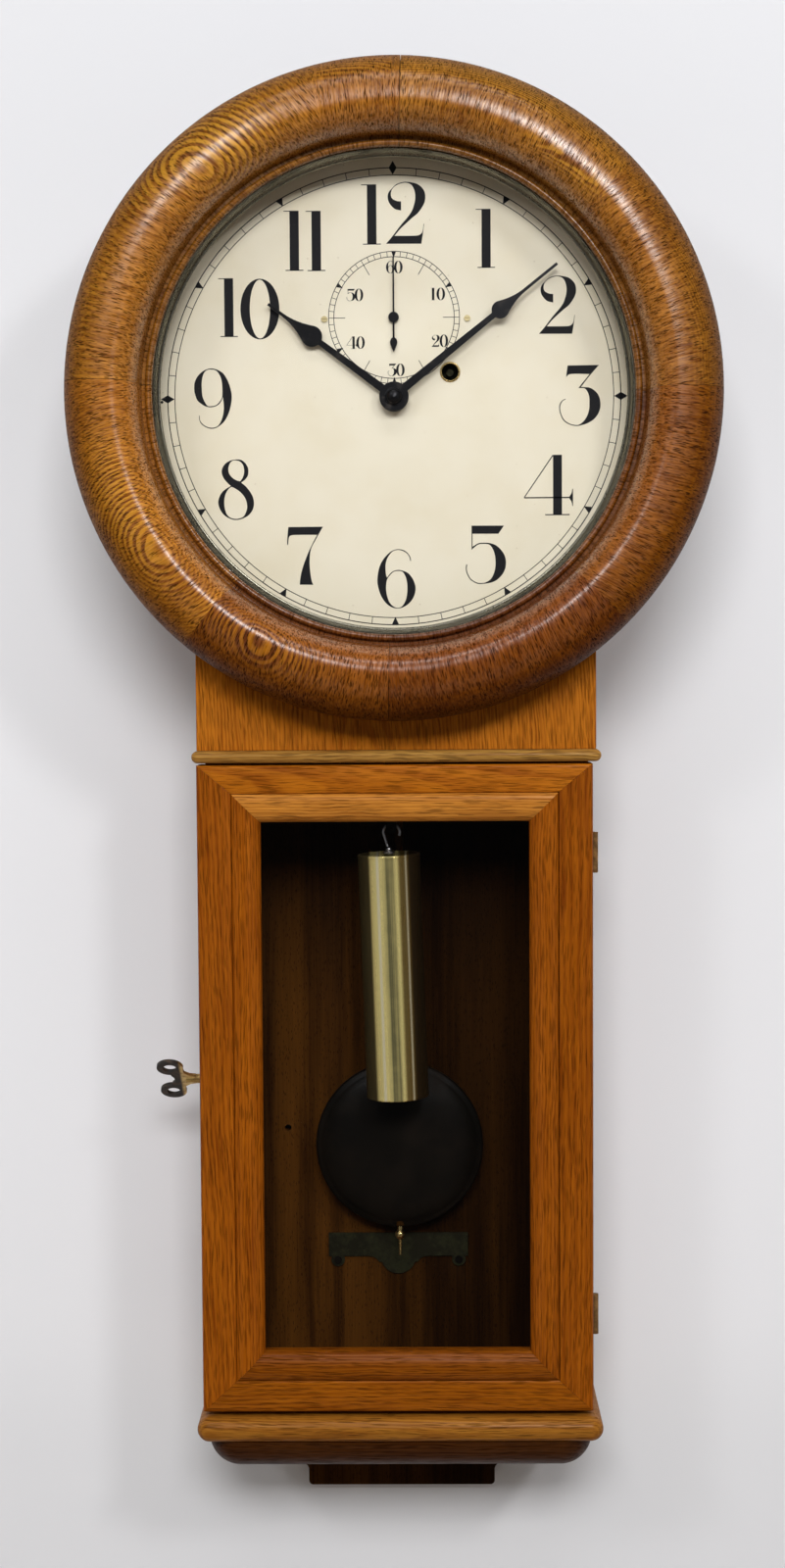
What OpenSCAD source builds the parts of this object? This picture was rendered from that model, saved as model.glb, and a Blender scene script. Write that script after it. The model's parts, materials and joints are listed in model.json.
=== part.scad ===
// Weight-driven wall regulator clock with a round head, a glazed trunk door and a seconds pendulum train.
// Origin: the hand arbor's axis, taken back to the wall. +Z up, +X to the viewer's right, -Y to the viewer.
// Depths are measured forward from the wall, and angles of the hands clockwise from twelve.

/* [Case] */
// Width over the trunk sides
trunk_w = 245; // [236:1:252]
// Thickness of a trunk side
side_t = 11.5; // [10:0.5:13]
// Thickness of the backboard
back_t = 14; // [11:0.5:15]
// Depth from the wall to the front edges of the sides
box_d = 84; // [83:0.5:92]
// Height of the case top over the hand arbor
box_top = 148; // [135:1:165]
// Thickness of the case top
top_t = 11; // [8:0.5:14]
// Thickness of the dial board and of the front panel
board_t = 16; // [14:0.5:20]
// How far the dial board stays inside the wooden ring's edge
board_inset = 15; // [14:1:19]
// Side overhang of the front panel
panel_over = 4; // [2:0.5:5]
// Height of the front panel that shows under the wooden ring
panel_show = 19; // [13:1:24]

/* [Mouldings] */
// Thickness of the upper bead
bead_t = 7.7; // [6:0.1:8.4]
// Side overhang of the upper bead
bead_over = 6.9; // [6:0.1:9]
// How far the upper bead stands in front of the front panel
bead_front = 8; // [6:0.5:12]
// Thickness of the bottom shelf
shelf_t = 16; // [12:0.5:20]
// Side overhang of the bottom shelf
shelf_over = 8.1; // [6:0.1:12]
// Depth of the bottom shelf from the wall
shelf_d = 110; // [107:1:118]
// Radius of the quarter-round base moulding
base_r = 21; // [16:0.5:26]
// Side overhang of the base moulding
base_over = 2.1; // [0:0.1:6]
// Depth of the base moulding from the wall
base_d = 104; // [98:1:106]
// Width of the tail board under the base
tail_w = 136; // [120:1:150]
// How far the tail board hangs below the base moulding
tail_show = 41; // [34:1:52]

/* [Trunk door] */
// How far the door stands over the trunk's left side, where the key is
door_over_l = 4.1; // [2:0.1:6]
// How far the door stands over the trunk's right side, where the hinges are
door_over_r = 1.7; // [1:0.1:2.5]
// Height of the trunk door
door_h = 416.4; // [405:0.2:418]
// Thickness of the door frame
door_t = 20; // [18:0.5:22]
// Width of a door stile
stile_w = 21.8; // [18:0.2:26]
// Width of the door's top rail
top_rail_w = 18.2; // [16:0.2:24]
// Width of the door's bottom rail
bottom_rail_w = 20.1; // [16:0.2:24]
// Width of the glazing moulding
mould_w = 18.3; // [16:0.1:22]
// Thickness of the door glass
door_glass_t = 2.8; // [2:0.1:3]
// Gap between the closed door and the case
door_gap = 0.3; // [0.2:0.05:0.5]

/* [Round head] */
// Outer radius of the wooden ring
ring_r = 203; // [200:1:206]
// Width of the wooden ring's half-round
round_w = 47; // [45:0.5:49]
// Overall thickness of the wooden ring
ring_t = 51.7; // [48:0.1:54]
// Height of the half-round on the ring
ring_crown = 27; // [24:0.5:30]
// Width of the groove and bead inside the half-round
bead_w = 6.8; // [6.2:0.1:7.8]
// Width of the metal sash that shows inside the wood
sash_w = 4.2; // [3.2:0.1:5.5]
// Depth of the sash's cove
sash_cove = 7.4; // [6:0.1:8.4]
// Thickness of the dial glass
dial_glass_t = 2.5; // [2:0.1:3]

/* [Dial and hands] */
// How far the dial plate reaches behind the wooden ring
dial_lap = 3; // [1:0.2:3.4]
// Thickness of the dial plate
dial_t = 1; // [0.8:0.1:1.4]
// Depth of the dial's recess in the dial board
dial_recess = 10; // [8:0.5:11]
// Radius of the opening behind the dial
dial_open_r = 75; // [72:1:90]
// Length of the minute hand from its arbor to its tip
minute_l = 131; // [120:1:136]
// Length of the hour hand from its arbor to its tip
hour_l = 98; // [88:1:104]
// Distance from the arbor to the bulb of the minute hand
minute_bulb_at = 85.5; // [75:0.5:92]
// Radius of the minute hand's bulb
minute_bulb_r = 5.5; // [4.5:0.1:7]
// Distance from the arbor to the bulb of the hour hand
hour_bulb_at = 64; // [54:0.5:68]
// Radius of the hour hand's bulb
hour_bulb_r = 6.6; // [5.5:0.1:8]
// Width of a hand's arm at its hub
arm_root_w = 5.4; // [4.5:0.1:6.5]
// Width of a hand's arm where it meets the bulb
arm_neck_w = 3.6; // [3:0.1:4.2]
// Width of a hand's tip
arm_tip_w = 1.9; // [1.2:0.1:2.4]
// Length of the seconds hand from its arbor to its tip
seconds_l = 37.5; // [30:0.5:40]
// Angle of the minute hand
minute_at = 51.5; // [0:0.5:360]
// Angle of the hour hand
hour_at = 306.5; // [0:0.5:360]
// Thickness of a hand
hand_t = 1.3; // [0.8:0.1:1.4]

/* [Movement] */
// Distance between the movement's plates
plate_gap = 36; // [35:0.5:37]
// Thickness of a movement plate
plate_t = 2.5; // [2:0.1:2.8]
// Centre of the winding arbor
wind_at = [35.4, 15.7];
// Centre of the third arbor
third_at = [-2.5, 24.6];
// Centre of the escape arbor, which carries the seconds hand
escape_at = [0, 50];
// Height of the pallet arbor and of the pendulum's bending point
swing_z = 78; // [77:0.5:79]
// Centre of the minute wheel's stud
minute_stud_at = [-13.8, -9.6];
// Radius of the winding drum
drum_r = 6.2; // [5.5:0.1:6.4]
// Diameter of the cable
cable_dia = 1.4; // [1:0.1:1.6]

/* [Pendulum and weight] */
// Distance from the bending point to the centre of the bob
bob_drop = 568; // [560:1:572]
// Radius of the bob
bob_r = 56; // [50:0.5:58]
// Thickness of the bob at its centre
bob_t = 22; // [18:0.5:23]
// Diameter of the wooden pendulum rod
rod_dia = 7; // [6:0.1:7.4]
// Diameter of the driving weight
weight_dia = 41; // [36:0.5:42]
// Length of the driving weight
weight_l = 160; // [140:1:170]
// Depth of the weight's top below the hand arbor
weight_drop = 291; // [288:1:300]
// Lean of the weight, which its bent hook carries off centre
weight_lean = 1.8; // [0:0.1:2]
// Place of the pulley's centre to the left of the hand arbor
pulley_x = -3.8; // [-5:0.1:-2]
// Height of the pulley's arbor over the top of the weight
pulley_rise = 62; // [58:1:70]

/* [Fittings] */
// Length of a trunk door hinge
hinge_h = 26; // [20:1:36]
// Radius of a trunk door hinge's barrel
hinge_r = 2.2; // [1.8:0.1:2.3]
// Distance from a door's end to the middle of its hinge
hinge_inset = 58; // [40:1:90]
// Length of the round head's hinge
head_hinge_h = 38; // [30:1:44]
// Depth of the latch spindle below the door's top
latch_drop = 205.9; // [190:0.1:240]
// Turn of the key's bow out of the upright
bow_turn = 50; // [0:1:70]
// Radius of the hanging hole
hang_r = 5; // [4:0.5:6]
// Radius of the lower wall screw's hole
wall_screw_r = 2.2; // [1.6:0.1:3]
// Place of the lower wall screw's hole, across and up
wall_screw_at = [-75.7, -482];
// Width of the beat scale
scale_w = 94.4; // [80:0.2:110]

/* [Hidden] */
$fn = 48;

// Running clearance of an arbor, and the seating clearance of a curved piece in its own body
run = 0.05;
seat = 0.15;
// Overrun of a cutting solid past the face that it cuts
eps = 1;

// Case, worked out from the sizes above
half_w = trunk_w / 2;
inner_w = half_w - side_t;
board_d = box_d + board_t;
board_r = ring_r - board_inset;
panel_drop = ring_r + panel_show;
bead_z = -panel_drop - bead_t;
door_top = bead_z - 1.4;
door_bottom = door_top - door_h;
shelf_z = door_bottom - 3.5;
base_z = shelf_z - shelf_t;
base_bottom = base_z - base_r;
tail_drop = tail_show - base_bottom;
door_back = box_d + door_gap;
door_face = door_back + door_t;
door_right = half_w + door_over_r;
door_left = -half_w - door_over_l;
door_w = door_right - door_left;
door_x = (door_left + door_right) / 2;
door_z = (door_top + door_bottom) / 2;
hinge_zs = [door_top - hinge_inset, door_bottom + hinge_inset];

// Glazing of the trunk door
sight_l = door_left + stile_w;
sight_r = door_right - stile_w;
sight_t = door_top - top_rail_w;
sight_b = door_bottom + bottom_rail_w;
sight_w = sight_r - sight_l;
sight_h = sight_t - sight_b;
sight_x = (sight_l + sight_r) / 2;
sight_z = (sight_t + sight_b) / 2;
rabbet_w = 4.5;
lip_t = 1.2;
mould_low = door_face - 6.7;
mould_back = box_d + 4;
door_glass_d = mould_low - lip_t - door_glass_t;

// Round head
ring_back = board_d + door_gap;
ring_face = ring_back + ring_t;
ring_round_r = ring_r - round_w;
ring_bore_r = ring_round_r - bead_w;
sash_r = ring_bore_r - sash_w;
dial_r = ring_bore_r + dial_lap;
round_d = ring_face - ring_crown;
rabbet_r = ring_bore_r + 3.8;
sash_d = ring_face - 33.5;
glass_front = sash_d - 5.4;
glass_back = glass_front - dial_glass_t;

// Dial and hands, stacked forward from the dial's face
dial_face = board_d - dial_recess + dial_t;
dial_back = dial_face - dial_t;
seconds_hand_d = dial_face + 1.6;
hour_hand_d = dial_face + 3.6;
minute_hand_d = hour_hand_d + hand_t + 2;
nut_d = minute_hand_d + hand_t;
hub_r = 9.2;
arbor_end = nut_d + 3;

// Movement, stacked back from the dial board
plate_face = box_d - 5.5;
front_in = plate_face - plate_t;
back_in = front_in - plate_gap;
back_out = back_in - plate_t;
plate_l = -50;
plate_r = 62;
plate_b = -42;
plate_top = 97;
pillar_at = [[-42, -34], [54, -34], [-42, 88], [54, 88]];
motion_d = plate_face + 1.4;
hour_wheel_d = motion_d + 2.8;
seat_t = 14;
seat_top = plate_b;
dial_foot_at = [[-43.6, 49.2], [46.3, 49.2]];
minute_stud_r = 1.5;

// Going train: number of teeth of each wheel and of the pinion that it drives
centre_at = [0, 0];
leaf_n = 10;
great_n = 120;
centre_n = 80;
third_n = 75;
escape_n = 40;
escape_r = 17.5;
cannon_n = 14;
minute_n = 42;
snail_n = 12;
hour_n = 48;
great_d = back_in + 2;
escape_d = back_in + 7;
third_d = back_in + 13;
centre_d = back_in + 23;
wheel_t = 1.3;
pivot_r = 0.8;
arbor_r = 1.2;

// Pendulum, weight and cable
swing_at = [0, swing_z];
pend_d = back_out - 8.5;
cock_z = swing_z + 5;
bob_z = swing_z - bob_drop;
bob_low = bob_z - bob_r;
rod_r = rod_dia / 2;
nut_r = 3.4;
weight_d = box_d - weight_dia / 2 - 0.8;
weight_top = -weight_drop;
cable_r = cable_dia / 2;
fall_r_x = wind_at[0] - drum_r - cable_r - 0.1;
pulley_z = weight_top + pulley_rise;
pulley_pitch = fall_r_x - pulley_x;
fall_l_x = pulley_x - pulley_pitch;
pin_z = weight_top + 16.6;
hook_wire = 0.95;
hook_r = 5.4;
pivot_z = pin_z + 1.4 + hook_wire + 0.05 - hook_r;
anchor_r = 1.6;

// Latch
latch_z = door_top - latch_drop;
latch_d = box_d - 13;
key_reach = 25;
bow_r = 8.5;
bow_hole_r = 4.3;
bow_half = 15;

// Profile helpers: a plate lies between two depths, and a turned piece has points of radius and depth
module slab(d0, d1) {
    translate([0, -d0, 0])
        rotate([90, 0, 0])
            linear_extrude(d1 - d0)
                children();
}

module block(x0, x1, d0, d1, z0, z1) {
    translate([x0, -d1, z0])
        cube([x1 - x0, d1 - d0, z1 - z0]);
}

module turned(at = [0, 0]) {
    translate([at[0], 0, at[1]])
        rotate([90, 0, 0])
            rotate_extrude($fn = 96)
                children();
}

module rod_y(at, r, d0, d1) {
    translate([at[0], -d0, at[1]])
        rotate([90, 0, 0])
            cylinder(h = d1 - d0, r = r);
}

module rod_z(x, d, r, z0, z1) {
    translate([x, -d, z0])
        cylinder(h = z1 - z0, r = r);
}

module rod_x(x0, x1, d, z, r) {
    translate([x0, -d, z])
        rotate([0, 90, 0])
            cylinder(h = x1 - x0, r = r);
}

module rounded_rect(x0, x1, z0, z1, r) {
    translate([x0 + r, z0])
        square([x1 - x0 - 2 * r, z1 - z0]);
    translate([x0, z0 + r])
        square([x1 - x0, z1 - z0 - 2 * r]);
    for (x = [x0 + r, x1 - r], z = [z0 + r, z1 - r])
        translate([x, z])
            circle(r);
}

function arc(centre, rx, ry, from, to, steps) =
    [for (i = [0:steps]) let (a = from + (to - from) * i / steps)
        [centre[0] + rx * cos(a), centre[1] + ry * sin(a)]];

// A plate whose front and side edges are half-round, standing on z0 against the wall
module nosed_plate(half, depth, t, z0) {
    r = t / 2;
    block(-half + r, half - r, 0, depth - r, z0, z0 + t);
    rod_x(-half + r, half - r, depth - r, z0 + r, r);
    for (side = [-1, 1]) {
        rod_y([side * (half - r), z0 + r], r, 0, depth - r);
        translate([side * (half - r), r - depth, z0 + r])
            sphere(r);
    }
}

// Wheel outlines: each tooth has four points, and phase is the angle of the first tooth
function teeth(n, root, tip, root_share, tip_share, phase = 0) =
    [for (i = [0:n - 1], k = [[root, -root_share], [tip, -tip_share], [tip, tip_share], [root, root_share]])
        let (a = phase + (i + k[1] / 2) * 360 / n)
            k[0] * [cos(a), sin(a)]];

function gap_of(a, b) = norm(b - a);
function way(a, b) = atan2(b[1] - a[1], b[0] - a[0]);
function pitch_r(n, other, gap) = gap * n / (n + other);

// Phase of a wheel of nb teeth at b that meshes with a wheel of na teeth at a whose phase is given
function meshed(a, b, na, nb, phase) =
    let (line = way(a, b))
        line + 180 - (0.5 - (line - phase) * na / 360) * 360 / nb;

module wheel(at, n, pitch, d, t, phase, hub_r, arms) {
    m = 2 * pitch / n;
    rim = pitch - 1.3 * m - 1.8;
    difference() {
        translate([at[0], 0, at[1]])
            slab(d, d + t)
                polygon(teeth(n, pitch - 1.3 * m, pitch + 0.85 * m, 0.62, 0.2, phase));
        if (arms > 0)
            translate([at[0], 0, at[1]])
                slab(d - eps, d + t + eps)
                    difference() {
                        circle(rim);
                        circle(hub_r + 1.6);
                        for (k = [0:arms - 1])
                            rotate(k * 360 / arms)
                                translate([0, -0.9])
                                    square([rim + 1, 1.8]);
                    }
    }
}

module pinion(at, n, pitch, d0, d1, phase) {
    m = 2 * pitch / n;
    translate([at[0], 0, at[1]])
        slab(d0, d1)
            polygon(teeth(n, pitch - 1.25 * m, pitch + 0.6 * m, 0.56, 0.22, phase));
}

// Case
module tail_outline() {
    half = tail_w / 2;
    cove = 4.5;
    foot = half - cove;
    shoulder = -tail_drop + 15;
    translate([-half, shoulder])
        square([tail_w, shelf_z - shoulder + eps]);
    translate([0, -tail_drop])
        rounded_rect(-foot, foot, 0, 14, 3);
    difference() {
        translate([-half, shoulder - cove])
            square([tail_w, cove]);
        for (side = [-1, 1])
            translate([side * half, shoulder - cove])
                circle(cove);
    }
}

module backboard() {
    color("#6b4424")
        difference() {
            union() {
                block(-half_w, half_w, 0, back_t, shelf_z, box_top);
                slab(0, back_t)
                    tail_outline();
            }
            rod_y(wall_screw_at, wall_screw_r, -eps, back_t + eps);
            block(-hanger_w / 2, hanger_w / 2, -eps, hanger_t, hanger_low, box_top + eps);
            hanger_screws(0.1);
            scale_screws(0.1);
        }
}

module side_board(side) {
    x0 = side > 0 ? inner_w : -half_w;
    block(x0, x0 + side_t, back_t, box_d, shelf_z, box_top - top_t);
}

module left_side() {
    color("#8a5a30")
        difference() {
            side_board(-1);
            rod_x(-half_w - eps, -inner_w + eps, latch_d, latch_z, key_r + run);
        }
}

module right_side() {
    color("#8a5a30")
        difference() {
            side_board(1);
            for (z = hinge_zs)
                block(door_leaf_x, half_w + eps, box_d - leaf_t, box_d + eps,
                    z - hinge_h / 2 - 0.1, z + hinge_h / 2 + 0.1);
        }
}

module top_board() {
    color("#8a5a30")
        block(-half_w, half_w, back_t, box_d, box_top - top_t, box_top);
}

module bottom_shelf() {
    color("#96602f")
        difference() {
            nosed_plate(half_w + shelf_over, shelf_d, shelf_t, base_z);
            block(-tail_w / 2, tail_w / 2, -eps, back_t, base_z - eps, shelf_z + eps);
        }
}

module base_moulding() {
    half = half_w + base_over;
    color("#8a5228")
        difference() {
            union() {
                block(-half + base_r, half - base_r, 0, base_d - base_r, base_bottom, base_z);
                rod_x(-half + base_r, half - base_r, base_d - base_r, base_z, base_r);
                for (side = [-1, 1]) {
                    rod_y([side * (half - base_r), base_z], base_r, 0, base_d - base_r);
                    translate([side * (half - base_r), base_r - base_d, base_z])
                        sphere(base_r);
                }
            }
            block(-half - eps, half + eps, -eps, base_d + eps, base_z, base_z + base_r + eps);
            block(-tail_w / 2, tail_w / 2, -eps, back_t, base_bottom - eps, base_z + eps);
        }
}

module front_panel() {
    color("#99622f")
        slab(box_d, board_d)
            difference() {
                translate([-half_w - panel_over, -panel_drop])
                    square([trunk_w + 2 * panel_over, panel_drop - half_w]);
                circle(board_r + 0.2, $fn = 96);
            }
}

module upper_bead() {
    color("#a87038")
        difference() {
            nosed_plate(half_w + bead_over, board_d + bead_front, bead_t, bead_z);
            block(-half_w, half_w, -eps, box_d, bead_z - eps, bead_z + bead_t + eps);
        }
}

module dial_board() {
    color("#7a5230")
        difference() {
            slab(box_d, board_d)
                circle(board_r);
            rod_y([0, 0], dial_r + 0.3, dial_back, board_d + eps);
            rod_y([0, 0], dial_open_r, box_d - eps, board_d + eps);
            block(head_leaf_x, board_r + eps, head_leaf_d, board_d + eps,
                -head_hinge_h / 2 - 0.1, head_hinge_h / 2 + 0.1);
        }
}

// Wall fittings
hanger_t = 2;
hanger_w = 26;
hanger_low = box_top - 34;
hanger_hole_z = box_top + 14;

module hanger_screws(grow) {
    for (z = [hanger_low + 7, box_top - 8])
        rod_y([0, z], 1.5 + grow, -eps, hanger_t + 9);
}

module hanger_plate() {
    color("#8f8a78")
        difference() {
            slab(0, hanger_t)
                union() {
                    rounded_rect(-hanger_w / 2, hanger_w / 2, hanger_low, hanger_hole_z, 3);
                    translate([0, hanger_hole_z])
                        circle(hanger_w / 2);
                }
            rod_y([0, hanger_hole_z], hang_r, -eps, hanger_t + eps);
            hanger_screws(0.1);
        }
}

scale_x = -1.4;
scale_top = bob_low - 8;
scale_h = 16;
scale_t = 1.5;
ear_x = 41;
ear_z = scale_top - 18.3;

module scale_screws(grow) {
    for (side = [-1, 1])
        rod_y([scale_x + side * ear_x, ear_z], 1.1 + grow, back_t - 8, back_t + scale_t + eps);
}

module beat_scale() {
    tab_r = 12;
    color("#77745c")
        difference() {
            slab(back_t, back_t + scale_t)
                union() {
                    translate([scale_x - scale_w / 2, scale_top - scale_h])
                        square([scale_w, scale_h]);
                    translate([scale_x, scale_top - scale_h])
                        circle(tab_r);
                    translate([scale_x - 20, scale_top - scale_h - 4])
                        square([40, 6]);
                    for (side = [-1, 1])
                        translate([scale_x + side * ear_x, ear_z])
                            circle(4.6);
                }
            scale_screws(0.1);
            for (side = [-1, 1])
                rod_y([scale_x + side * 20, scale_top - scale_h - 8], 8, back_t - eps, back_t + scale_t + eps);
        }
}

module back_screws() {
    color("#b59a55") {
        for (side = [-1, 1]) {
            rod_y([scale_x + side * ear_x, ear_z], 1.1, back_t - 7.5, back_t + scale_t + 1);
            rod_y([scale_x + side * ear_x, ear_z], 2.6, back_t + scale_t, back_t + scale_t + 1.1);
        }
        for (z = [hanger_low + 7, box_top - 8])
            rod_y([0, z], 1.5, 0.3, hanger_t + 8.5);
    }
}

// Hinges: the fixed half carries the end knuckles and the pin, the moving half the middle knuckle
leaf_t = 1.1;
hinge_x = door_right + hinge_r + 0.2;
hinge_d = box_d + door_gap / 2;
hinge_pin_r = 0.9;
door_leaf_x = inner_w + 1;

module hinge_knuckle(x, d, r, z, h, bore) {
    difference() {
        rod_z(x, d, r, z - h / 2, z + h / 2);
        if (bore > 0)
            rod_z(x, d, bore, z - h / 2 - eps, z + h / 2 + eps);
    }
}

module door_hinge_fixed() {
    third = hinge_h / 3;
    color("#8c7a45")
        for (z = hinge_zs) {
            difference() {
                block(door_leaf_x, hinge_x, box_d - leaf_t, box_d, z - hinge_h / 2, z + hinge_h / 2);
                rod_z(hinge_x, hinge_d, hinge_r + 0.25, z - third / 2 - 0.1, z + third / 2 + 0.1);
            }
            for (k = [-1, 1])
                rod_z(hinge_x, hinge_d, hinge_r, z + k * third - third / 2 + 0.1 * (1 + k) / 2,
                    z + k * third + third / 2 - 0.1 * (1 - k) / 2);
            rod_z(hinge_x, hinge_d, hinge_pin_r, z - third, z + third);
        }
}

module door_hinge_moving() {
    third = hinge_h / 3;
    color("#8c7a45")
        for (z = hinge_zs)
            difference() {
                union() {
                    block(door_leaf_x, hinge_x, door_back, door_back + leaf_t, z - hinge_h / 2, z + hinge_h / 2);
                    rod_z(hinge_x, hinge_d, hinge_r, z - third / 2 + 0.1, z + third / 2 - 0.1);
                }
                rod_z(hinge_x, hinge_d, hinge_pin_r + run, z - third, z + third);
                for (k = [-1, 1])
                    rod_z(hinge_x, hinge_d, hinge_r + 0.25, z + k * third - third / 2 - 0.1,
                        z + k * third + third / 2 + 0.1);
            }
}

head_axis_x = board_r + 8;
head_axis_d = board_d - 3;
head_knuckle_r = 2.4;
head_leaf_x = board_r - 12;
head_leaf_d = board_d - 1.7;

module head_hinge_fixed() {
    third = head_hinge_h / 3;
    color("#8c7a45") {
        difference() {
            block(head_leaf_x, head_axis_x, head_leaf_d, head_leaf_d + leaf_t,
                -head_hinge_h / 2, head_hinge_h / 2);
            rod_z(head_axis_x, head_axis_d, head_knuckle_r + 0.25, -third / 2 - 0.1, third / 2 + 0.1);
        }
        for (k = [-1, 1])
            rod_z(head_axis_x, head_axis_d, head_knuckle_r, k * third - third / 2 + 0.1 * (1 + k) / 2,
                k * third + third / 2 - 0.1 * (1 - k) / 2);
        rod_z(head_axis_x, head_axis_d, hinge_pin_r, -third, third);
    }
}

module head_hinge_moving() {
    third = head_hinge_h / 3;
    color("#8c7a45")
        difference() {
            union() {
                block(head_leaf_x, head_axis_x, ring_back, ring_back + leaf_t, -head_hinge_h / 2, head_hinge_h / 2);
                block(head_axis_x - 1, head_axis_x + 1, head_axis_d, ring_back + leaf_t,
                    -third / 2 + 0.1, third / 2 - 0.1);
                rod_z(head_axis_x, head_axis_d, head_knuckle_r, -third / 2 + 0.1, third / 2 - 0.1);
            }
            rod_z(head_axis_x, head_axis_d, hinge_pin_r + run, -third, third);
        }
}

// Dial and its fittings
module dial() {
    color("#e9e2c6")
        difference() {
            slab(dial_back, dial_face)
                circle(dial_r, $fn = 96);
            rod_y(centre_at, 4.6, dial_back - eps, dial_face + eps);
            rod_y(escape_at, 1.6, dial_back - eps, dial_face + eps);
            rod_y(wind_at, grommet_r - 0.8, dial_back - eps, dial_face + eps);
            for (at = dial_foot_at)
                rod_y(at, screw_r + run, dial_back - eps, dial_face + eps);
        }
}

screw_r = 0.9;
grommet_r = 6.4;
grommet_bore = 5.1;

module dial_screws() {
    color("#d8b860")
        for (at = dial_foot_at)
            difference() {
                union() {
                    rod_y(at, screw_r, dial_back - 5, dial_face + 0.5);
                    rod_y(at, 2, dial_face, dial_face + 0.9);
                }
                block(at[0] - 2.5, at[0] + 2.5, dial_face + 0.5, dial_face + 1.5, at[1] - 0.25, at[1] + 0.25);
            }
}

module winding_grommet() {
    color("#c9a548")
        turned(wind_at)
            polygon([[grommet_bore, dial_back - 2], [grommet_r - 0.9, dial_back - 2],
                [grommet_r - 0.9, dial_face], [grommet_r, dial_face], [grommet_r, dial_face + 0.4],
                [grommet_r - 0.5, dial_face + 0.9], [grommet_bore + 0.3, dial_face + 0.9],
                [grommet_bore, dial_face + 0.5]]);
}

// Movement frame
module movement_seat() {
    color("#6b4a2a")
        difference() {
            block(-inner_w, inner_w, back_t, box_d - 1, seat_top - seat_t, seat_top);
            block(-16, 16, pend_d - 8, pend_d + 8, seat_top - seat_t - eps, seat_top + eps);
            for (x = [fall_l_x, fall_r_x])
                rod_z(x, weight_d, 5, seat_top - seat_t - eps, seat_top + eps);
        }
}

module plate(d) {
    slab(d, d + plate_t)
        rounded_rect(plate_l, plate_r, plate_b, plate_top, 6);
}

module back_plate() {
    color("#b8923f")
        difference() {
            plate(back_out);
            for (at = [centre_at, third_at, escape_at])
                rod_y(at, pivot_r + run, back_out - eps, back_in + eps);
            rod_y(swing_at, arbor_r + run, back_out - eps, back_in + eps);
            rod_y(wind_at, 1.6 + run, back_out - eps, back_in + eps);
            for (at = pillar_at)
                rod_y(at, 1.5, back_out - eps, back_in + eps);
        }
}

module front_plate() {
    color("#b8923f")
        difference() {
            union() {
                plate(front_in);
                rod_y(minute_stud_at, minute_stud_r, front_in, motion_d + 5.4);
                for (at = dial_foot_at)
                    rod_y(at, 3, plate_face - 0.5, dial_back);
            }
            rod_y(centre_at, arbor_r + run, front_in - eps, plate_face + eps);
            rod_y(third_at, pivot_r + run, front_in - eps, plate_face + eps);
            rod_y(escape_at, 1 + run, front_in - eps, plate_face + eps);
            rod_y(swing_at, pivot_r + run, front_in - eps, plate_face + eps);
            rod_y(wind_at, 2.2 + run, front_in - eps, plate_face + eps);
            for (at = pillar_at)
                rod_y(at, 1.5, front_in - eps, plate_face + eps);
            for (at = dial_foot_at)
                rod_y(at, screw_r + run, plate_face + 2, dial_back + eps);
        }
}

module pillars() {
    color("#c39b45")
        for (at = pillar_at) {
            turned(at)
                polygon([[0, back_in], [4.5, back_in], [4.5, back_in + 3], [3.3, back_in + 5],
                    [3.3, front_in - 5], [4.5, front_in - 3], [4.5, front_in], [0, front_in]]);
            rod_y(at, 1.4, back_out - 0.2, plate_face + 0.2);
            rod_y(at, 3, plate_face, plate_face + 1.4);
            rod_y(at, 3, back_out - 1.4, back_out);
        }
}

module suspension_cock() {
    color("#b8923f")
        difference() {
            union() {
                block(-9, 9, back_out - 3, back_out, cock_z, plate_top - 2);
                block(-5, 5, pend_d - 5, back_out, cock_z, cock_z + 9);
            }
            block(-0.6, 0.6, pend_d - 5 - eps, pend_d + 4, cock_z - eps, cock_z + 6);
        }
}

module cable_anchor() {
    color("#c39b45") {
        rod_y([fall_l_x, wind_at[1]], anchor_r, back_in, front_in);
        difference() {
            rod_y([fall_l_x, wind_at[1]], 2.6, weight_d - 2.2, weight_d + 2.2);
            rod_z(fall_l_x, weight_d, cable_r + 0.1, wind_at[1] - 4, wind_at[1] - anchor_r - 0.1);
        }
    }
}

// Trunk door: bars stand on the four sides of a rectangle, 0 at the top and on clockwise
module on_side(k, x, z, w, h) {
    translate([x, 0, z])
        rotate([0, 90 * k, 0])
            translate([0, 0, (k % 2 == 0 ? h : w) / 2])
                children();
}

function bar_length(k, w, h) = k % 2 == 0 ? w : h;

// A bar along X whose profile has points of width inward and depth, mitred at both ends
module mitred_bar(length, width, left, right, d0, d1, profile) {
    intersection() {
        translate([-length / 2, 0, 0])
            rotate([90, 0, 90])
                linear_extrude(length)
                    polygon([for (p = profile) [-p[1], -p[0]]]);
        slab(d0 - eps, d1 + eps)
            polygon([[-length / 2, 0], [length / 2, 0], [length / 2 - right, -width], [left - length / 2, -width]]);
    }
}

function frame_profile(w) = concat(
    [[0, door_back], [w, door_back], [w, door_face - 0.6], [w - 0.6, door_face]],
    arc([2, door_face - 2], 2, 2, 90, 180, 5));

module frame_bar(k, width) {
    left = k % 2 == 0 ? stile_w : (k == 1 ? top_rail_w : bottom_rail_w);
    right = k % 2 == 0 ? stile_w : (k == 1 ? bottom_rail_w : top_rail_w);
    on_side(k, door_x, door_z, door_w, door_h)
        mitred_bar(bar_length(k, door_w, door_h), width, left, right, door_back, door_face, frame_profile(width));
}

module door_left_stile() {
    color("#9a5f2a")
        difference() {
            frame_bar(3, stile_w);
            block(keeper_l, keeper_r, door_back - eps, door_back + keeper_t, keeper_low, keeper_high);
            block(hook_l - 1, hook_l + hook_t + 1, door_back - eps, latch_d + hook_out + 1.2,
                latch_z - 15, latch_z + 8);
        }
}

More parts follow.
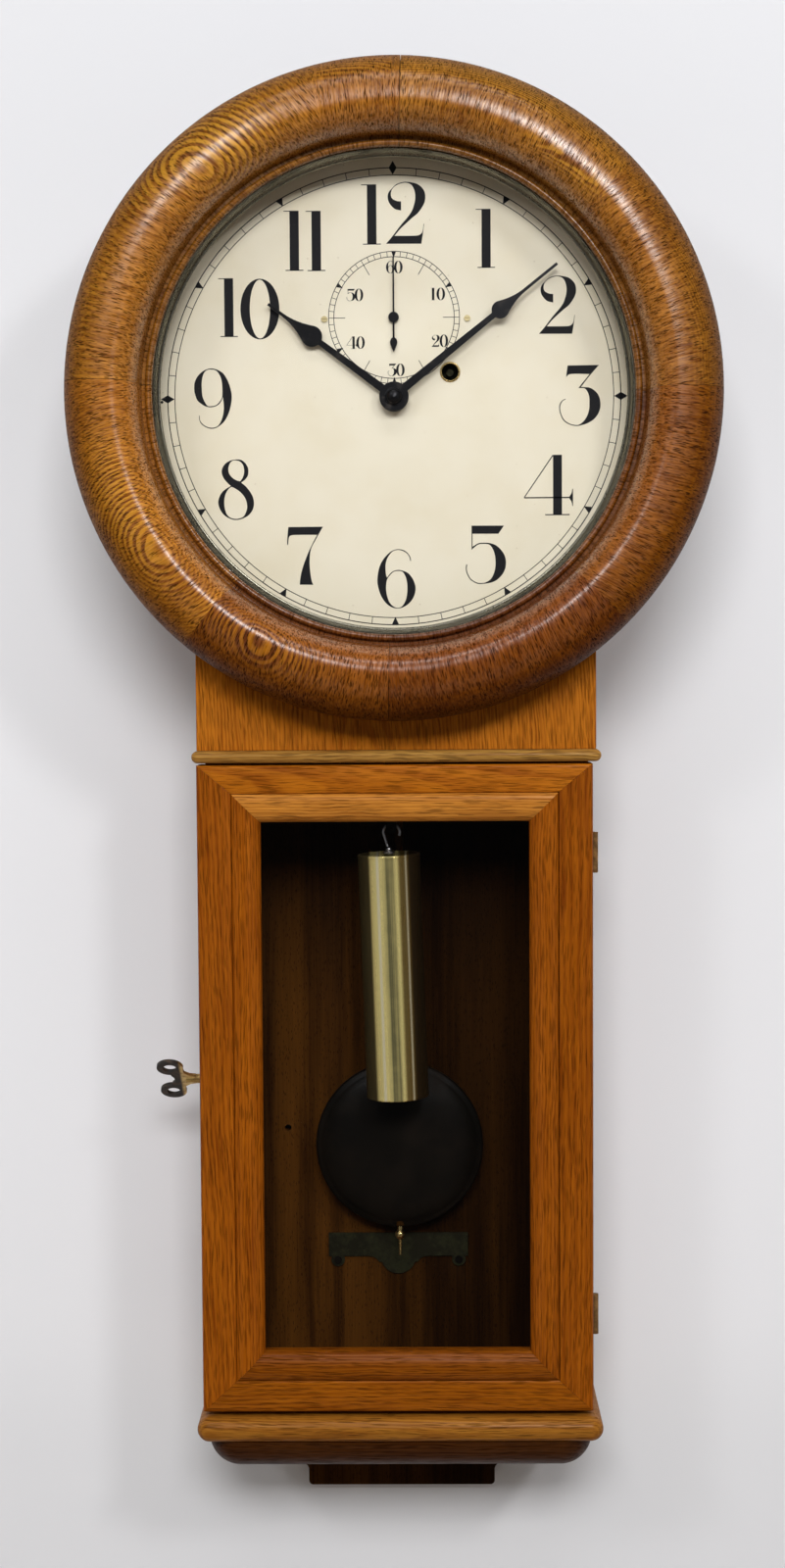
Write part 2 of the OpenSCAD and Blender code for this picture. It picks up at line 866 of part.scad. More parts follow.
module door_right_stile() {
    color("#9a5f2a")
        difference() {
            frame_bar(1, stile_w);
            for (z = hinge_zs)
                block(door_leaf_x - 0.1, door_right + eps, door_back - eps, door_back + leaf_t,
                    z - hinge_h / 2 - 0.1, z + hinge_h / 2 + 0.1);
        }
}

module door_top_rail() {
    color("#9a5f2a")
        frame_bar(0, top_rail_w);
}

module door_bottom_rail() {
    color("#9a5f2a")
        frame_bar(2, bottom_rail_w);
}

crest_u = mould_w / 3;
function mould_profile() = concat(
    [[0, mould_back], [mould_w - rabbet_w, mould_back], [mould_w - rabbet_w, mould_low - lip_t],
        [mould_w, mould_low - lip_t]],
    arc([crest_u, mould_low], mould_w - crest_u, door_face + 1 - mould_low, 0, 90, 10),
    arc([crest_u, door_face - 1.6], crest_u, 2.6, 100, 180, 5));

module door_moulding() {
    stop_w = rabbet_w - 0.6;
    color("#a5672e")
        for (k = [0:3]) {
            on_side(k, sight_x, sight_z, sight_w, sight_h)
                mitred_bar(bar_length(k, sight_w, sight_h), mould_w, mould_w, mould_w, mould_back, door_face + 1,
                    mould_profile());
            on_side(k, sight_x, sight_z, sight_w - 2 * (mould_w - rabbet_w), sight_h - 2 * (mould_w - rabbet_w))
                mitred_bar(bar_length(k, sight_w, sight_h) - 2 * (mould_w - rabbet_w), stop_w, stop_w, stop_w,
                    mould_back, door_glass_d,
                    [[0, mould_back], [stop_w, mould_back + 1.5], [stop_w, door_glass_d - 0.1], [0, door_glass_d - 0.1]]);
        }
}

module door_glass() {
    edge = mould_w - rabbet_w + 0.3;
    color("#cfdcdc", 0.3)
        block(sight_l + edge, sight_r - edge, door_glass_d, door_glass_d + door_glass_t - 0.05,
            sight_b + edge, sight_t - edge);
}

// Latch: a hooked arm swings through the keeper into the stile, and its nose catches behind the keeper
key_r = 3;
hook_t = 2.2;
hook_l = -inner_w + 0.5;
hook_in = door_back + 1 - latch_d + 0.9;
hook_out = hook_in + 3.4;
keeper_t = 1;
keeper_l = -inner_w - 4;
keeper_r = sight_l - 0.6;
keeper_low = latch_z - 20;
keeper_high = latch_z + 14;

module door_keeper() {
    color("#b39448")
        difference() {
            block(keeper_l, keeper_r, door_back, door_back + keeper_t, keeper_low, keeper_high);
            block(hook_l - 0.6, hook_l + hook_t + 0.6, door_back - eps, door_back + keeper_t + eps,
                latch_z - 14, latch_z + 2.8);
        }
}

module latch_hook() {
    color("#a08a50") {
        translate([hook_l + hook_t, -latch_d, latch_z])
            rotate([0, -90, 0])
                linear_extrude(hook_t)
                    hook_shape();
        rod_x(-half_w - 7, hook_l + 1, latch_d, latch_z, 1.5);
    }
}

// Drawn with x up and y back to the wall: the arm hangs down, and its nose leads toward the door
module hook_shape() {
    union() {
        circle(4.2);
        translate([-hook_out + 1, -1.6])
            square([hook_out - 1, 3.2]);
        intersection() {
            difference() {
                circle(hook_out);
                circle(hook_in);
            }
            polygon([[0, 0], 30 * [-cos(6), sin(6)], [-30, 0], 30 * [-cos(17), -sin(17)]]);
        }
    }
}

// Web between the key's shank and its two loops, one half at a time
function key_web(side, neck) =
    let (half = [[-neck + 7.5, 4.6], [-neck + 3.5, 5.4], [-neck + 0.1, 8.4], [-neck - 0.5, bow_half - 1],
        [-key_reach, bow_half]])
        [for (i = [0:4]) let (p = half[side > 0 ? i : 4 - i]) [p[0], side * p[1]]];

module latch_key() {
    reach = door_left + 3.8;
    neck = key_reach - bow_r;
    color("#4b4436") {
        translate([reach, -latch_d, latch_z])
            rotate([bow_turn, 0, 0])
                translate([0, 1.1, 0])
                    rotate([90, 0, 0])
                        linear_extrude(2.2)
                            difference() {
                                union() {
                                    for (side = [-1, 1])
                                        translate([-key_reach, side * bow_half])
                                            circle(bow_r);
                                    polygon([for (side = [1, -1], p = key_web(side, neck)) p]);
                                }
                                for (side = [-1, 1])
                                    translate([-key_reach, side * bow_half])
                                        circle(bow_hole_r);
                                translate([-key_reach - 5.4, 0])
                                    circle(7.4);
                                translate([-14, -key_r - 0.02])
                                    square([20, 2 * key_r + 0.04]);
                            }
    }
    color("#c7a24e")
        difference() {
            rod_x(reach - 15.5, -inner_w - 0.5, latch_d, latch_z, key_r);
            rod_x(-half_w - 7.3, -inner_w, latch_d, latch_z, 1.5 + run);
        }
}

// Round head
function ring_profile() = concat(
    [[rabbet_r, ring_back], [ring_r - 4, ring_back]],
    arc([ring_r, ring_back + 3], 4, 4, 180, 90, 5),
    arc([ring_r - round_w / 2, round_d], round_w / 2, ring_crown, 0, 180, 28),
    [[ring_round_r - 0.5, round_d - 2.4], [ring_round_r - 2.5, round_d - 2.4]],
    arc([ring_bore_r + 2.15, round_d - 1.6], 2.15, 2.6, 0, 180, 8),
    [[ring_bore_r, sash_d + 0.2], [rabbet_r, sash_d + 0.2]]);

module head_ring() {
    color("#8e5526")
        difference() {
            turned()
                polygon(ring_profile());
            block(head_leaf_x - 0.1, head_axis_x + 1.1, ring_back - eps, ring_back + leaf_t,
                -head_hinge_h / 2 - 0.1, head_hinge_h / 2 + 0.1);
        }
}

module head_sash() {
    flange_r = rabbet_r - seat;
    color("#9d998c")
        turned()
            polygon(concat([[flange_r, glass_back - 3], [flange_r, sash_d],
                [ring_bore_r - seat, sash_d], [ring_bore_r - seat, sash_d + 3]],
                arc([sash_r + 0.4, sash_d + 3], sash_w - 1.1, sash_cove, 0, -90, 6),
                [[sash_r, glass_front + 0.1], [flange_r - 2, glass_front + 0.1], [flange_r - 2, glass_back - 3]]));
    color("#9d998c")
        turned()
            polygon([[sash_r + 2, glass_back - 1.9], [flange_r - 2.1, glass_back - 1.9],
                [flange_r - 2.1, glass_back - 0.1], [sash_r + 2, glass_back - 0.1]]);
}

module head_glass() {
    color("#cfdcdc", 0.3)
        rod_y([0, 0], rabbet_r - seat - 2.3, glass_back, glass_front);
}

// Going train
great_pitch = pitch_r(great_n, leaf_n, gap_of(wind_at, centre_at));
centre_leaf = pitch_r(leaf_n, great_n, gap_of(wind_at, centre_at));
centre_pitch = pitch_r(centre_n, leaf_n, gap_of(centre_at, third_at));
third_leaf = pitch_r(leaf_n, centre_n, gap_of(centre_at, third_at));
third_pitch = pitch_r(third_n, leaf_n, gap_of(third_at, escape_at));
escape_leaf = pitch_r(leaf_n, third_n, gap_of(third_at, escape_at));
cannon_pitch = pitch_r(cannon_n, minute_n, gap_of(centre_at, minute_stud_at));
minute_pitch = pitch_r(minute_n, cannon_n, gap_of(centre_at, minute_stud_at));
snail_pitch = pitch_r(snail_n, hour_n, gap_of(centre_at, minute_stud_at));
hour_pitch = pitch_r(hour_n, snail_n, gap_of(centre_at, minute_stud_at));

module centre_wheel() {
    color("#c7a24e") {
        wheel(centre_at, centre_n, centre_pitch, centre_d, wheel_t, 0, 4, 5);
        rod_y(centre_at, 3.2, centre_d - 1.5, centre_d + wheel_t + 1);
    }
    color("#8d9096") {
        pinion(centre_at, leaf_n, centre_leaf, great_d - 0.8, great_d + wheel_t + 0.8,
            meshed(wind_at, centre_at, great_n, leaf_n, 0));
        rod_y(centre_at, pivot_r, back_out + 0.2, back_in + 1);
        rod_y(centre_at, arbor_r, back_in + 0.5, arbor_end);
    }
}

module third_wheel() {
    color("#c7a24e") {
        wheel(third_at, third_n, third_pitch, third_d, wheel_t, 0, 4, 5);
        rod_y(third_at, 3, third_d - 1.5, third_d + wheel_t + 1);
    }
    color("#8d9096") {
        pinion(third_at, leaf_n, third_leaf, centre_d - 1, centre_d + wheel_t + 1,
            meshed(centre_at, third_at, centre_n, leaf_n, 0));
        rod_y(third_at, pivot_r, back_out + 0.2, plate_face - 0.2);
        rod_y(third_at, arbor_r, back_in + 0.5, front_in - 0.5);
    }
}

module escape_wheel() {
    color("#c7a24e") {
        difference() {
            translate([escape_at[0], 0, escape_at[1]])
                slab(escape_d, escape_d + wheel_t)
                    polygon([for (i = [0:escape_n - 1], k = [[escape_r - 3.2, -0.42], [escape_r, -0.06],
                        [escape_r, 0.06], [escape_r - 3.2, -0.1]])
                        k[0] * [cos((i + k[1]) * 360 / escape_n), sin((i + k[1]) * 360 / escape_n)]]);
            translate([escape_at[0], 0, escape_at[1]])
                slab(escape_d - eps, escape_d + wheel_t + eps)
                    difference() {
                        circle(escape_r - 5);
                        circle(4.4);
                        for (k = [0:4])
                            rotate(k * 72)
                                translate([0, -0.8])
                                    square([escape_r - 4, 1.6]);
                    }
        }
        rod_y(escape_at, 2.8, escape_d - 1.5, escape_d + wheel_t + 1);
    }
    color("#8d9096") {
        pinion(escape_at, leaf_n, escape_leaf, third_d - 1, third_d + wheel_t + 1,
            meshed(third_at, escape_at, third_n, leaf_n, 0));
        rod_y(escape_at, pivot_r, back_out + 0.2, back_in + 1);
        rod_y(escape_at, 1, back_in + 0.5, seconds_hand_d);
        rod_y(escape_at, arbor_r, back_in + 0.5, front_in - 0.5);
    }
}

ratchet_d = great_d + wheel_t + 0.8;
ratchet_r = 13.5;
drum_d0 = ratchet_d + 2.4;
drum_d1 = weight_d + 8;

module great_wheel() {
    color("#c7a24e")
        difference() {
            wheel(wind_at, great_n, great_pitch, great_d, wheel_t, 0, 15.4, 6);
            rod_y(wind_at, 2.2 + run, great_d - eps, great_d + wheel_t + eps);
        }
    // The click and its pin, riveted to the wheel's hub inside the click's own tooth gap
    color("#8d9096")
        translate([wind_at[0], 0, wind_at[1]])
            rotate([0, 30, 0])
                slab(great_d + wheel_t, ratchet_d + 1.4)
                    translate([ratchet_r + 0.5, -2])
                        square([2.6, 6]);
}

module drum() {
    flange_r = 15;
    color("#c7a24e") {
        difference() {
            union() {
                translate([wind_at[0], 0, wind_at[1]])
                    slab(ratchet_d, ratchet_d + 1.4)
                        polygon(teeth(24, ratchet_r - 1.8, ratchet_r, 0.9, 0.15, 0));
                rod_y(wind_at, flange_r, ratchet_d + 1.4, drum_d0);
                rod_y(wind_at, drum_r, drum_d0 - 0.5, drum_d1);
                rod_y(wind_at, flange_r, drum_d1 - 0.5, drum_d1 + 1);
            }
            rod_y(wind_at, 1, ratchet_d - eps, ratchet_d);
        }
    }
    color("#d6b25c")
        turned(wind_at)
            polygon(concat([[drum_r - 0.5, drum_d0], [drum_r, drum_d0]],
                [for (i = [0:wound_turns - 1], k = [0:3])
                    [drum_r + 0.1 + cable_r * (1 + sin(90 * k - 90)) , drum_d0 + 0.2 + (i + k / 4) * (cable_dia + 0.1)]],
                [[drum_r, drum_d0 + 0.2 + wound_turns * (cable_dia + 0.1)],
                    [drum_r - 0.5, drum_d0 + 0.2 + wound_turns * (cable_dia + 0.1)]]));
    color("#8d9096") {
        rod_y(wind_at, 2.2, back_in + 0.5, dial_back - 3);
        rod_y(wind_at, 1.6, back_out + 0.2, back_in + 1);
    }
}
wound_turns = floor((weight_d - 2 - drum_d0 - 0.2) / (cable_dia + 0.1));

// Motion work under the dial
module cannon_pinion() {
    color("#8d9096")
        difference() {
            union() {
                pinion(centre_at, cannon_n, cannon_pitch, motion_d, motion_d + 1.6, 0);
                rod_y(centre_at, 2, motion_d - 0.8, minute_hand_d + hand_t);
            }
            rod_y(centre_at, arbor_r, motion_d - 2, minute_hand_d + hand_t + eps);
        }
}

module minute_wheel() {
    color("#c7a24e")
        difference() {
            union() {
                wheel(minute_stud_at, minute_n, minute_pitch, motion_d + 0.1, 1.2,
                    meshed(centre_at, minute_stud_at, cannon_n, minute_n, 0), 3.5, 4);
                pinion(minute_stud_at, snail_n, snail_pitch, motion_d + 1, hour_wheel_d + 1.4,
                    0);
            }
            rod_y(minute_stud_at, minute_stud_r + run, motion_d - eps, hour_wheel_d + 3);
        }
}

module hour_wheel() {
    color("#c7a24e")
        difference() {
            union() {
                wheel(centre_at, hour_n, hour_pitch, hour_wheel_d + 0.1, 1.2,
                    meshed(minute_stud_at, centre_at, snail_n, hour_n, 0), 4, 4);
                rod_y(centre_at, 3.2, hour_wheel_d - 0.5, hour_hand_d + hand_t);
            }
            rod_y(centre_at, 2 + run, hour_wheel_d - eps, hour_hand_d + hand_t + eps);
        }
}

// Hands, drawn pointing at twelve and then turned to the time
function hand_outline(length, bulb_at, bulb_r) =
    let (
        side = concat(
            [[arm_root_w / 2, 0], [arm_neck_w / 2, bulb_at - bulb_r * 0.98]],
            arc([0, bulb_at], bulb_r, bulb_r, -62, 20, 7),
            [for (i = [1:6]) let (t = i / 6)
                [arm_tip_w / 2 + (bulb_r * cos(20) - arm_tip_w / 2) * pow(1 - t, 1.9),
                    bulb_at + bulb_r * sin(20) + t * bulb_r * 3.1]],
            [[arm_tip_w * 0.45, length]]))
        concat(side, [for (i = [len(side) - 1:-1:0]) [-side[i][0], side[i][1]]]);

module hand(angle, d, length, bulb_at, bulb_r, bore) {
    rotate([0, angle, 0])
        difference() {
            union() {
                slab(d, d + hand_t)
                    polygon(hand_outline(length, bulb_at, bulb_r));
                rod_y([0, 0], hub_r, d, d + hand_t);
            }
            rod_y([0, 0], bore, d - eps, d + hand_t + eps);
        }
}

module minute_hand() {
    color("#26262a")
        hand(minute_at, minute_hand_d, minute_l, minute_bulb_at, minute_bulb_r, 2);
}

module hour_hand() {
    color("#26262a")
        hand(hour_at, hour_hand_d, hour_l, hour_bulb_at, hour_bulb_r, 3.2);
}

module seconds_hand() {
    tail = 22;
    color("#26262a")
        translate([escape_at[0], 0, escape_at[1]])
            difference() {
                union() {
                    slab(seconds_hand_d - 0.1, seconds_hand_d + 0.6)
                        union() {
                            polygon([[-0.6, -14], [0.6, -14], [0.45, seconds_l], [-0.45, seconds_l]]);
                            polygon(concat([[0, -tail]], arc([0, -15.6], 2.3, 3, -25, 205, 10)));
                        }
                    rod_y([0, 0], 3.3, seconds_hand_d - 0.6, seconds_hand_d + 0.9);
                }
                rod_y([0, 0], 1, seconds_hand_d - 1, seconds_hand_d + 0.01);
            }
}

module hand_nut() {
    color("#4a4a4e")
        difference() {
            turned()
                polygon(concat([[0, nut_d], [5.6, nut_d], [5.6, nut_d + 0.8], [4.5, nut_d + 1.2]],
                    arc([0, nut_d + 1.2], 4.5, 2.6, 0, 90, 7)));
            rod_y(centre_at, arbor_r, nut_d - eps, arbor_end + 0.01);
        }
}

// Escapement and pendulum
module pallets() {
    reach = swing_z - escape_at[1];
    arm_r = sqrt(pow(reach, 2) - pow(escape_r, 2));
    color("#8d9096") {
        translate([0, 0, swing_z])
            slab(escape_d - 0.3, escape_d + wheel_t + 0.3)
                difference() {
                    union() {
                        circle(3.4);
                        polygon([[-3, 1], [3, 1], [arm_r + 1, -6.5], [arm_r - 1, -6.5], [0, -3.6],
                            [1 - arm_r, -6.5], [-arm_r - 1, -6.5]]);
                        difference() {
                            circle(arm_r + 1);
                            circle(arm_r - 1);
                            translate([-arm_r - 2, -6.4])
                                square([2 * arm_r + 4, arm_r + 9]);
                        }
                    }
                    translate([0, -reach])
                        circle(escape_r + 1.6);
                }
        rod_y(swing_at, arbor_r, crutch_d - 0.8, front_in - 0.5);
        rod_y(swing_at, pivot_r, front_in - 1, plate_face - 0.2);
    }
}

crutch_d = back_out - 4;

module crutch() {
    inner = rod_r + 0.35;
    color("#b39448")
        difference() {
            union() {
                rod_y(swing_at, 3.2, crutch_d - 1, crutch_d + 3);
                block(-1.6, 1.6, crutch_d, crutch_d + 1.4, 22, swing_z);
                block(-inner - 1.2, inner + 1.2, crutch_d, crutch_d + 1.4, 20, 26);
                for (side = [-1, 1])
                    block(side > 0 ? inner : -inner - 1.2, side > 0 ? inner + 1.2 : -inner,
                        pend_d - rod_r - 1, crutch_d + 1, 20, 24);
            }
            rod_y(swing_at, arbor_r, crutch_d - 2, crutch_d + 4);
        }
}

module suspension_spring() {
    color("#a7abb0") {
        block(-0.2, 0.2, pend_d - 3.5, pend_d + 3.5, swing_z - 12, cock_z - 0.3);
        block(-2, 2, pend_d - 4.5, pend_d + 4.5, swing_z - 18, swing_z - 11);
    }
}

module pendulum_rod() {
    color("#5b3a20")
        difference() {
            rod_z(0, pend_d, rod_r, bob_low + 1, swing_z - 12);
            block(-2, 2, pend_d - 4.5, pend_d + 4.5, swing_z - 18, swing_z);
            rod_z(0, pend_d, 1.1, bob_low, bob_low + 10);
        }
}

module bob() {
    half = bob_t / 2;
    color("#2c2a29")
        difference() {
            translate([0, -pend_d, bob_z])
                rotate([90, 0, 0])
                    rotate_extrude($fn = 96)
                        polygon(concat([[0, -half]], arc([8, 0], bob_r - 10, half, -90, -15, 10),
                            arc([bob_r - 2.8, 0], 2.8, 2.8, -60, 60, 6),
                            arc([8, 0], bob_r - 10, half, 15, 90, 10), [[0, half]]));
            translate([0, -pend_d, bob_low - eps])
                rotate([0, 0, 30])
                    cylinder(h = 2 * bob_r + 2 * eps, r = rod_r + 0.1);
        }
}

module rating_nut() {
    color("#cba856") {
        difference() {
            translate([0, -pend_d, bob_low - 5.4])
                sphere(nut_r);
            rod_z(0, pend_d, 1.1, bob_low - 20, bob_low + 5);
        }
        difference() {
            rod_z(0, pend_d, 2, bob_low - 3, bob_low + 0.6);
            rod_z(0, pend_d, 1.1, bob_low - 20, bob_low + 5);
        }
        rod_z(0, pend_d, 1.1, bob_low - 19.3, bob_low + 10);
    }
}

// Driving weight, its pulley and cable
module hung() {
    translate([pulley_x, -weight_d, pivot_z])
        rotate([0, -weight_lean, 0])
            children();
}

hook_off = -2.2;

module weight() {
    r = weight_dia / 2;
    drop = pivot_z - weight_top;
    color("#cfa848")
        hung()
            translate([hook_off, 0, -drop - weight_l])
                rotate_extrude($fn = 96)
                    polygon([[0, 0], [r - 1, 0], [r, 1], [r, weight_l - 1], [r - 1, weight_l], [0, weight_l]]);
}

module weight_hook() {
    drop = pivot_z - weight_top;
    color("#77777a")
        hung() {
            rotate([90, 0, 0])
                rotate_extrude(angle = 205, start = -25)
                    translate([hook_r, 0])
                        circle(hook_wire, $fn = 16);
            translate([-hook_r, 0, 0])
                sphere(hook_wire, $fn = 16);
            hook_leg(drop);
            translate([hook_off, 0, -drop])
                cylinder(h = 1.2, r = 4);
            translate([hook_off, 0, -drop + 2.4])
                sphere(2.4);
        }
}

module hook_leg(drop) {
    run_x = hook_off + hook_r;
    run_z = drop - 2.4;
    translate([-hook_r, 0, 0])
        rotate([0, 180 - atan2(run_x, run_z), 0])
            cylinder(h = norm([run_x, run_z]), r = hook_wire, $fn = 16);
}

cheek_t = 1.4;
sheave_t = 6;
cheek_gap = sheave_t / 2 + 0.6;

module pulley_bail() {
    low = pin_z - 3.4;
    color("#55524c")
        for (side = [-1, 1])
            translate([pulley_x, 0, 0])
                slab(side > 0 ? weight_d + cheek_gap : weight_d - cheek_gap - cheek_t,
                    side > 0 ? weight_d + cheek_gap + cheek_t : weight_d - cheek_gap)
                    union() {
                        translate([-3.4, low + 3.4])
                            square([6.8, pulley_z - low - 3.4]);
                        translate([0, low + 3.4])
                            circle(3.4);
                        translate([0, pulley_z])
                            circle(5);
                    }
    color("#77777a")
        for (z = [pin_z, pulley_z])
            rod_y([pulley_x, z], z == pin_z ? 1.4 : 1.5,
                weight_d - cheek_gap - cheek_t - 0.5, weight_d + cheek_gap + cheek_t + 0.5);
    // The cable's bight, which lies in the sheave's groove
    color("#d6b25c")
        translate([pulley_x, -weight_d, pulley_z])
            rotate([90, 0, 0])
                rotate_extrude(angle = 180, start = 180)
                    translate([pulley_pitch, 0])
                        circle(cable_r, $fn = 16);
}

module pulley_sheave() {
    out = pulley_pitch + 1.8;
    color("#b8923f")
        difference() {
            turned([pulley_x, pulley_z])
                polygon(concat([[1.5 + run, weight_d - sheave_t / 2], [5, weight_d - sheave_t / 2],
                    [5.5, weight_d - 1.2], [pulley_pitch - 5, weight_d - 1.2],
                    [pulley_pitch - 3.5, weight_d - 2.2], [out, weight_d - 2.2]],
                    arc([out, weight_d], 1.8 + cable_r + 0.3, 1.5, 270, 90, 8),
                    [[out, weight_d + 2.2], [pulley_pitch - 3.5, weight_d + 2.2],
                    [pulley_pitch - 5, weight_d + 1.2], [5.5, weight_d + 1.2], [5, weight_d + sheave_t / 2],
                    [1.5 + run, weight_d + sheave_t / 2]]));
            for (k = [0:4])
                rod_y([pulley_x + 16 * cos(72 * k), pulley_z + 16 * sin(72 * k)], 6.5, weight_d - 4, weight_d + 4);
        }
}

module cable_falls() {
    color("#d6b25c") {
        rod_z(fall_l_x, weight_d, cable_r, pulley_z, wind_at[1] - anchor_r - 0.2);
        rod_z(fall_r_x, weight_d, cable_r, pulley_z, wind_at[1]);
    }
}

backboard();
left_side();
right_side();
top_board();
bottom_shelf();
base_moulding();
front_panel();
upper_bead();
dial_board();
hanger_plate();
beat_scale();
back_screws();
door_hinge_fixed();
head_hinge_fixed();
dial();
dial_screws();
winding_grommet();
movement_seat();
back_plate();
front_plate();
pillars();
suspension_cock();
cable_anchor();
door_left_stile();
door_right_stile();
door_top_rail();
door_bottom_rail();
door_moulding();
door_glass();
door_hinge_moving();
door_keeper();
head_ring();
head_sash();
head_glass();
head_hinge_moving();
latch_key();
latch_hook();
centre_wheel();
third_wheel();
escape_wheel();
great_wheel();
drum();
cannon_pinion();
minute_wheel();
hour_wheel();
minute_hand();
hour_hand();
seconds_hand();
hand_nut();
pallets();
crutch();
suspension_spring();
pendulum_rod();
bob();
rating_nut();
weight();
weight_hook();
pulley_bail();
pulley_sheave();
cable_falls();
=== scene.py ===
"""Looks of the regulator wall clock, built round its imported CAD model."""
import json
import math

import bmesh
import bpy
import numpy as np
from mathutils import Matrix, Vector
from mathutils.geometry import tessellate_polygon

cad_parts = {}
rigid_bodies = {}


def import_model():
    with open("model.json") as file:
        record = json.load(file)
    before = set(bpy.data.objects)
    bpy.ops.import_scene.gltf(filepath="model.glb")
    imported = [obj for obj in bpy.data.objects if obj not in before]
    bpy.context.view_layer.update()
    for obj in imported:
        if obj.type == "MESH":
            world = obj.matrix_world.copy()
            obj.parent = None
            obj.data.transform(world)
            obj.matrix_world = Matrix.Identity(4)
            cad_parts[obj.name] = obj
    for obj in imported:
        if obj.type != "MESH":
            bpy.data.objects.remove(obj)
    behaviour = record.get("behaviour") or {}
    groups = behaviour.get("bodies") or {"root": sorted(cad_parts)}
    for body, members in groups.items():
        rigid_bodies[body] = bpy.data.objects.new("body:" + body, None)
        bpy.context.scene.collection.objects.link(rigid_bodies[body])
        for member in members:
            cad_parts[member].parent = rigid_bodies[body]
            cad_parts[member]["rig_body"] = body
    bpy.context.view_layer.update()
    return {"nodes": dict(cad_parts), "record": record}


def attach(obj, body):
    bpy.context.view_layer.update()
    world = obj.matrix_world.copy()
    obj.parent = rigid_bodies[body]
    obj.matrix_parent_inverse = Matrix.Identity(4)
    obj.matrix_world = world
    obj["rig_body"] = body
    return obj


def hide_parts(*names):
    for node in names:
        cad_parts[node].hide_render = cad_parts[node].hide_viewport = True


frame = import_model()
NODES = frame["nodes"]

# Sizes in millimetres, as in the part's source: x to the right, d forward from the wall, z up from the hand
# arbor; R is a radius, W a width, and names in D, BACK, FACE, FRONT or LOW are depths
RING_R, ROUND_W, BEAD_W, SASH_W = 203.0, 47.0, 6.8, 4.2
RING_BACK, RING_FACE, RING_CROWN, CROWN_R = 100.3, 152.0, 27.0, 173.0
ROUND_R = RING_R - ROUND_W
BORE_R = ROUND_R - BEAD_W
SASH_R = BORE_R - SASH_W
ROUND_D = RING_FACE - RING_CROWN
RABBET_R = BORE_R + 3.8
SASH_D = RING_FACE - 33.5
GLASS_FRONT, GLASS_BACK = 113.1, 110.6
DIAL_FACE = 91.0
SECONDS_AT = (0.3, 49.9)
SIGHT = (-104.8, 102.4, -627.4, -249.3)
DOOR_FACE, MOULD_W, MOULD_LOW, MOULD_BACK, DOOR_GLASS = 104.3, 18.3, 97.6, 88.0, 93.6
PIVOT_Z, WEIGHT_TOP, WEIGHT_D = -277.45, -291.0, 62.7
BOB_Z, BOB_D = -490.0, 29.0
# The camera as fitted to the photograph: metres, degrees of pitch, yaw and roll, millimetres
CAMERA_AT, CAMERA_TURN = (0.01451, -1.53278, -0.15602), (-3.498, -0.677, 0.365)
CAMERA_LENS, SENSOR = 52.04, 36
# Metres: how close points are merged, what counts as no length, the wall's face just behind the case, the
# floor, and the middle of the ring's wood
WELD, NO_LENGTH, WALL_Y, FLOOR_Z, RING_MIDDLE = 2e-6, 1e-7, 0.0006, -1.9, 0.180


# ---- Camera, light and room ----

def put(name, data):
    """An object with this data, in the scene."""
    thing = bpy.data.objects.new(name, data)
    bpy.context.scene.collection.objects.link(thing)
    return thing


def place_camera():
    """The photograph's view, from a metre and a half away and a little downward."""
    data = bpy.data.cameras.new("camera")
    data.sensor_fit, data.sensor_width, data.lens = "AUTO", SENSOR, CAMERA_LENS
    pitch, yaw, roll = (math.radians(a) for a in CAMERA_TURN)
    ahead = Vector((math.sin(yaw) * math.cos(pitch), math.cos(yaw) * math.cos(pitch), math.sin(pitch)))
    right = Vector((math.cos(yaw), -math.sin(yaw), 0))
    up = right.cross(ahead)
    cos, sin = math.cos(roll), math.sin(roll)
    right, up = right * cos - up * sin, right * sin + up * cos
    turn = Matrix((right, up, -ahead)).transposed().to_4x4()
    turn.translation = CAMERA_AT
    camera = put("camera", data)
    camera.matrix_world = turn
    bpy.context.scene.camera = camera


def place_lamp(name, place, target, size, power, lights=True, mirrored=True):
    """A soft lamp that faces the target. One that isn't mirrored leaves no highlight, and one that doesn't
    light gives highlights only."""
    data = bpy.data.lights.new(name, "AREA")
    data.shape, data.size, data.size_y, data.energy = "RECTANGLE", *size, power
    lamp = put(name, data)
    lamp.location = place
    lamp.visible_diffuse, lamp.visible_glossy = lights, mirrored
    lamp.rotation_euler = (Vector(place) - Vector(target)).to_track_quat("Z", "Y").to_euler()


def light_room():
    """Even light from the room: pale walls to the left and right, dimmer straight ahead, above and below."""
    world = bpy.data.worlds.new("room")
    bpy.context.scene.world = world
    world.use_nodes = True
    kit = Kit(world)
    side = kit.split(kit.add("TexCoord", out="Generated"))[0].size()
    glow = side.step(0.20, 0.42, 0.025, 0.22)
    light = kit.add("Background", sockets={"Color": (0.95, 0.97, 1.0, 1), "Strength": glow})
    kit.add("OutputWorld", sockets={"Surface": light})


# ---- Shader arithmetic ----

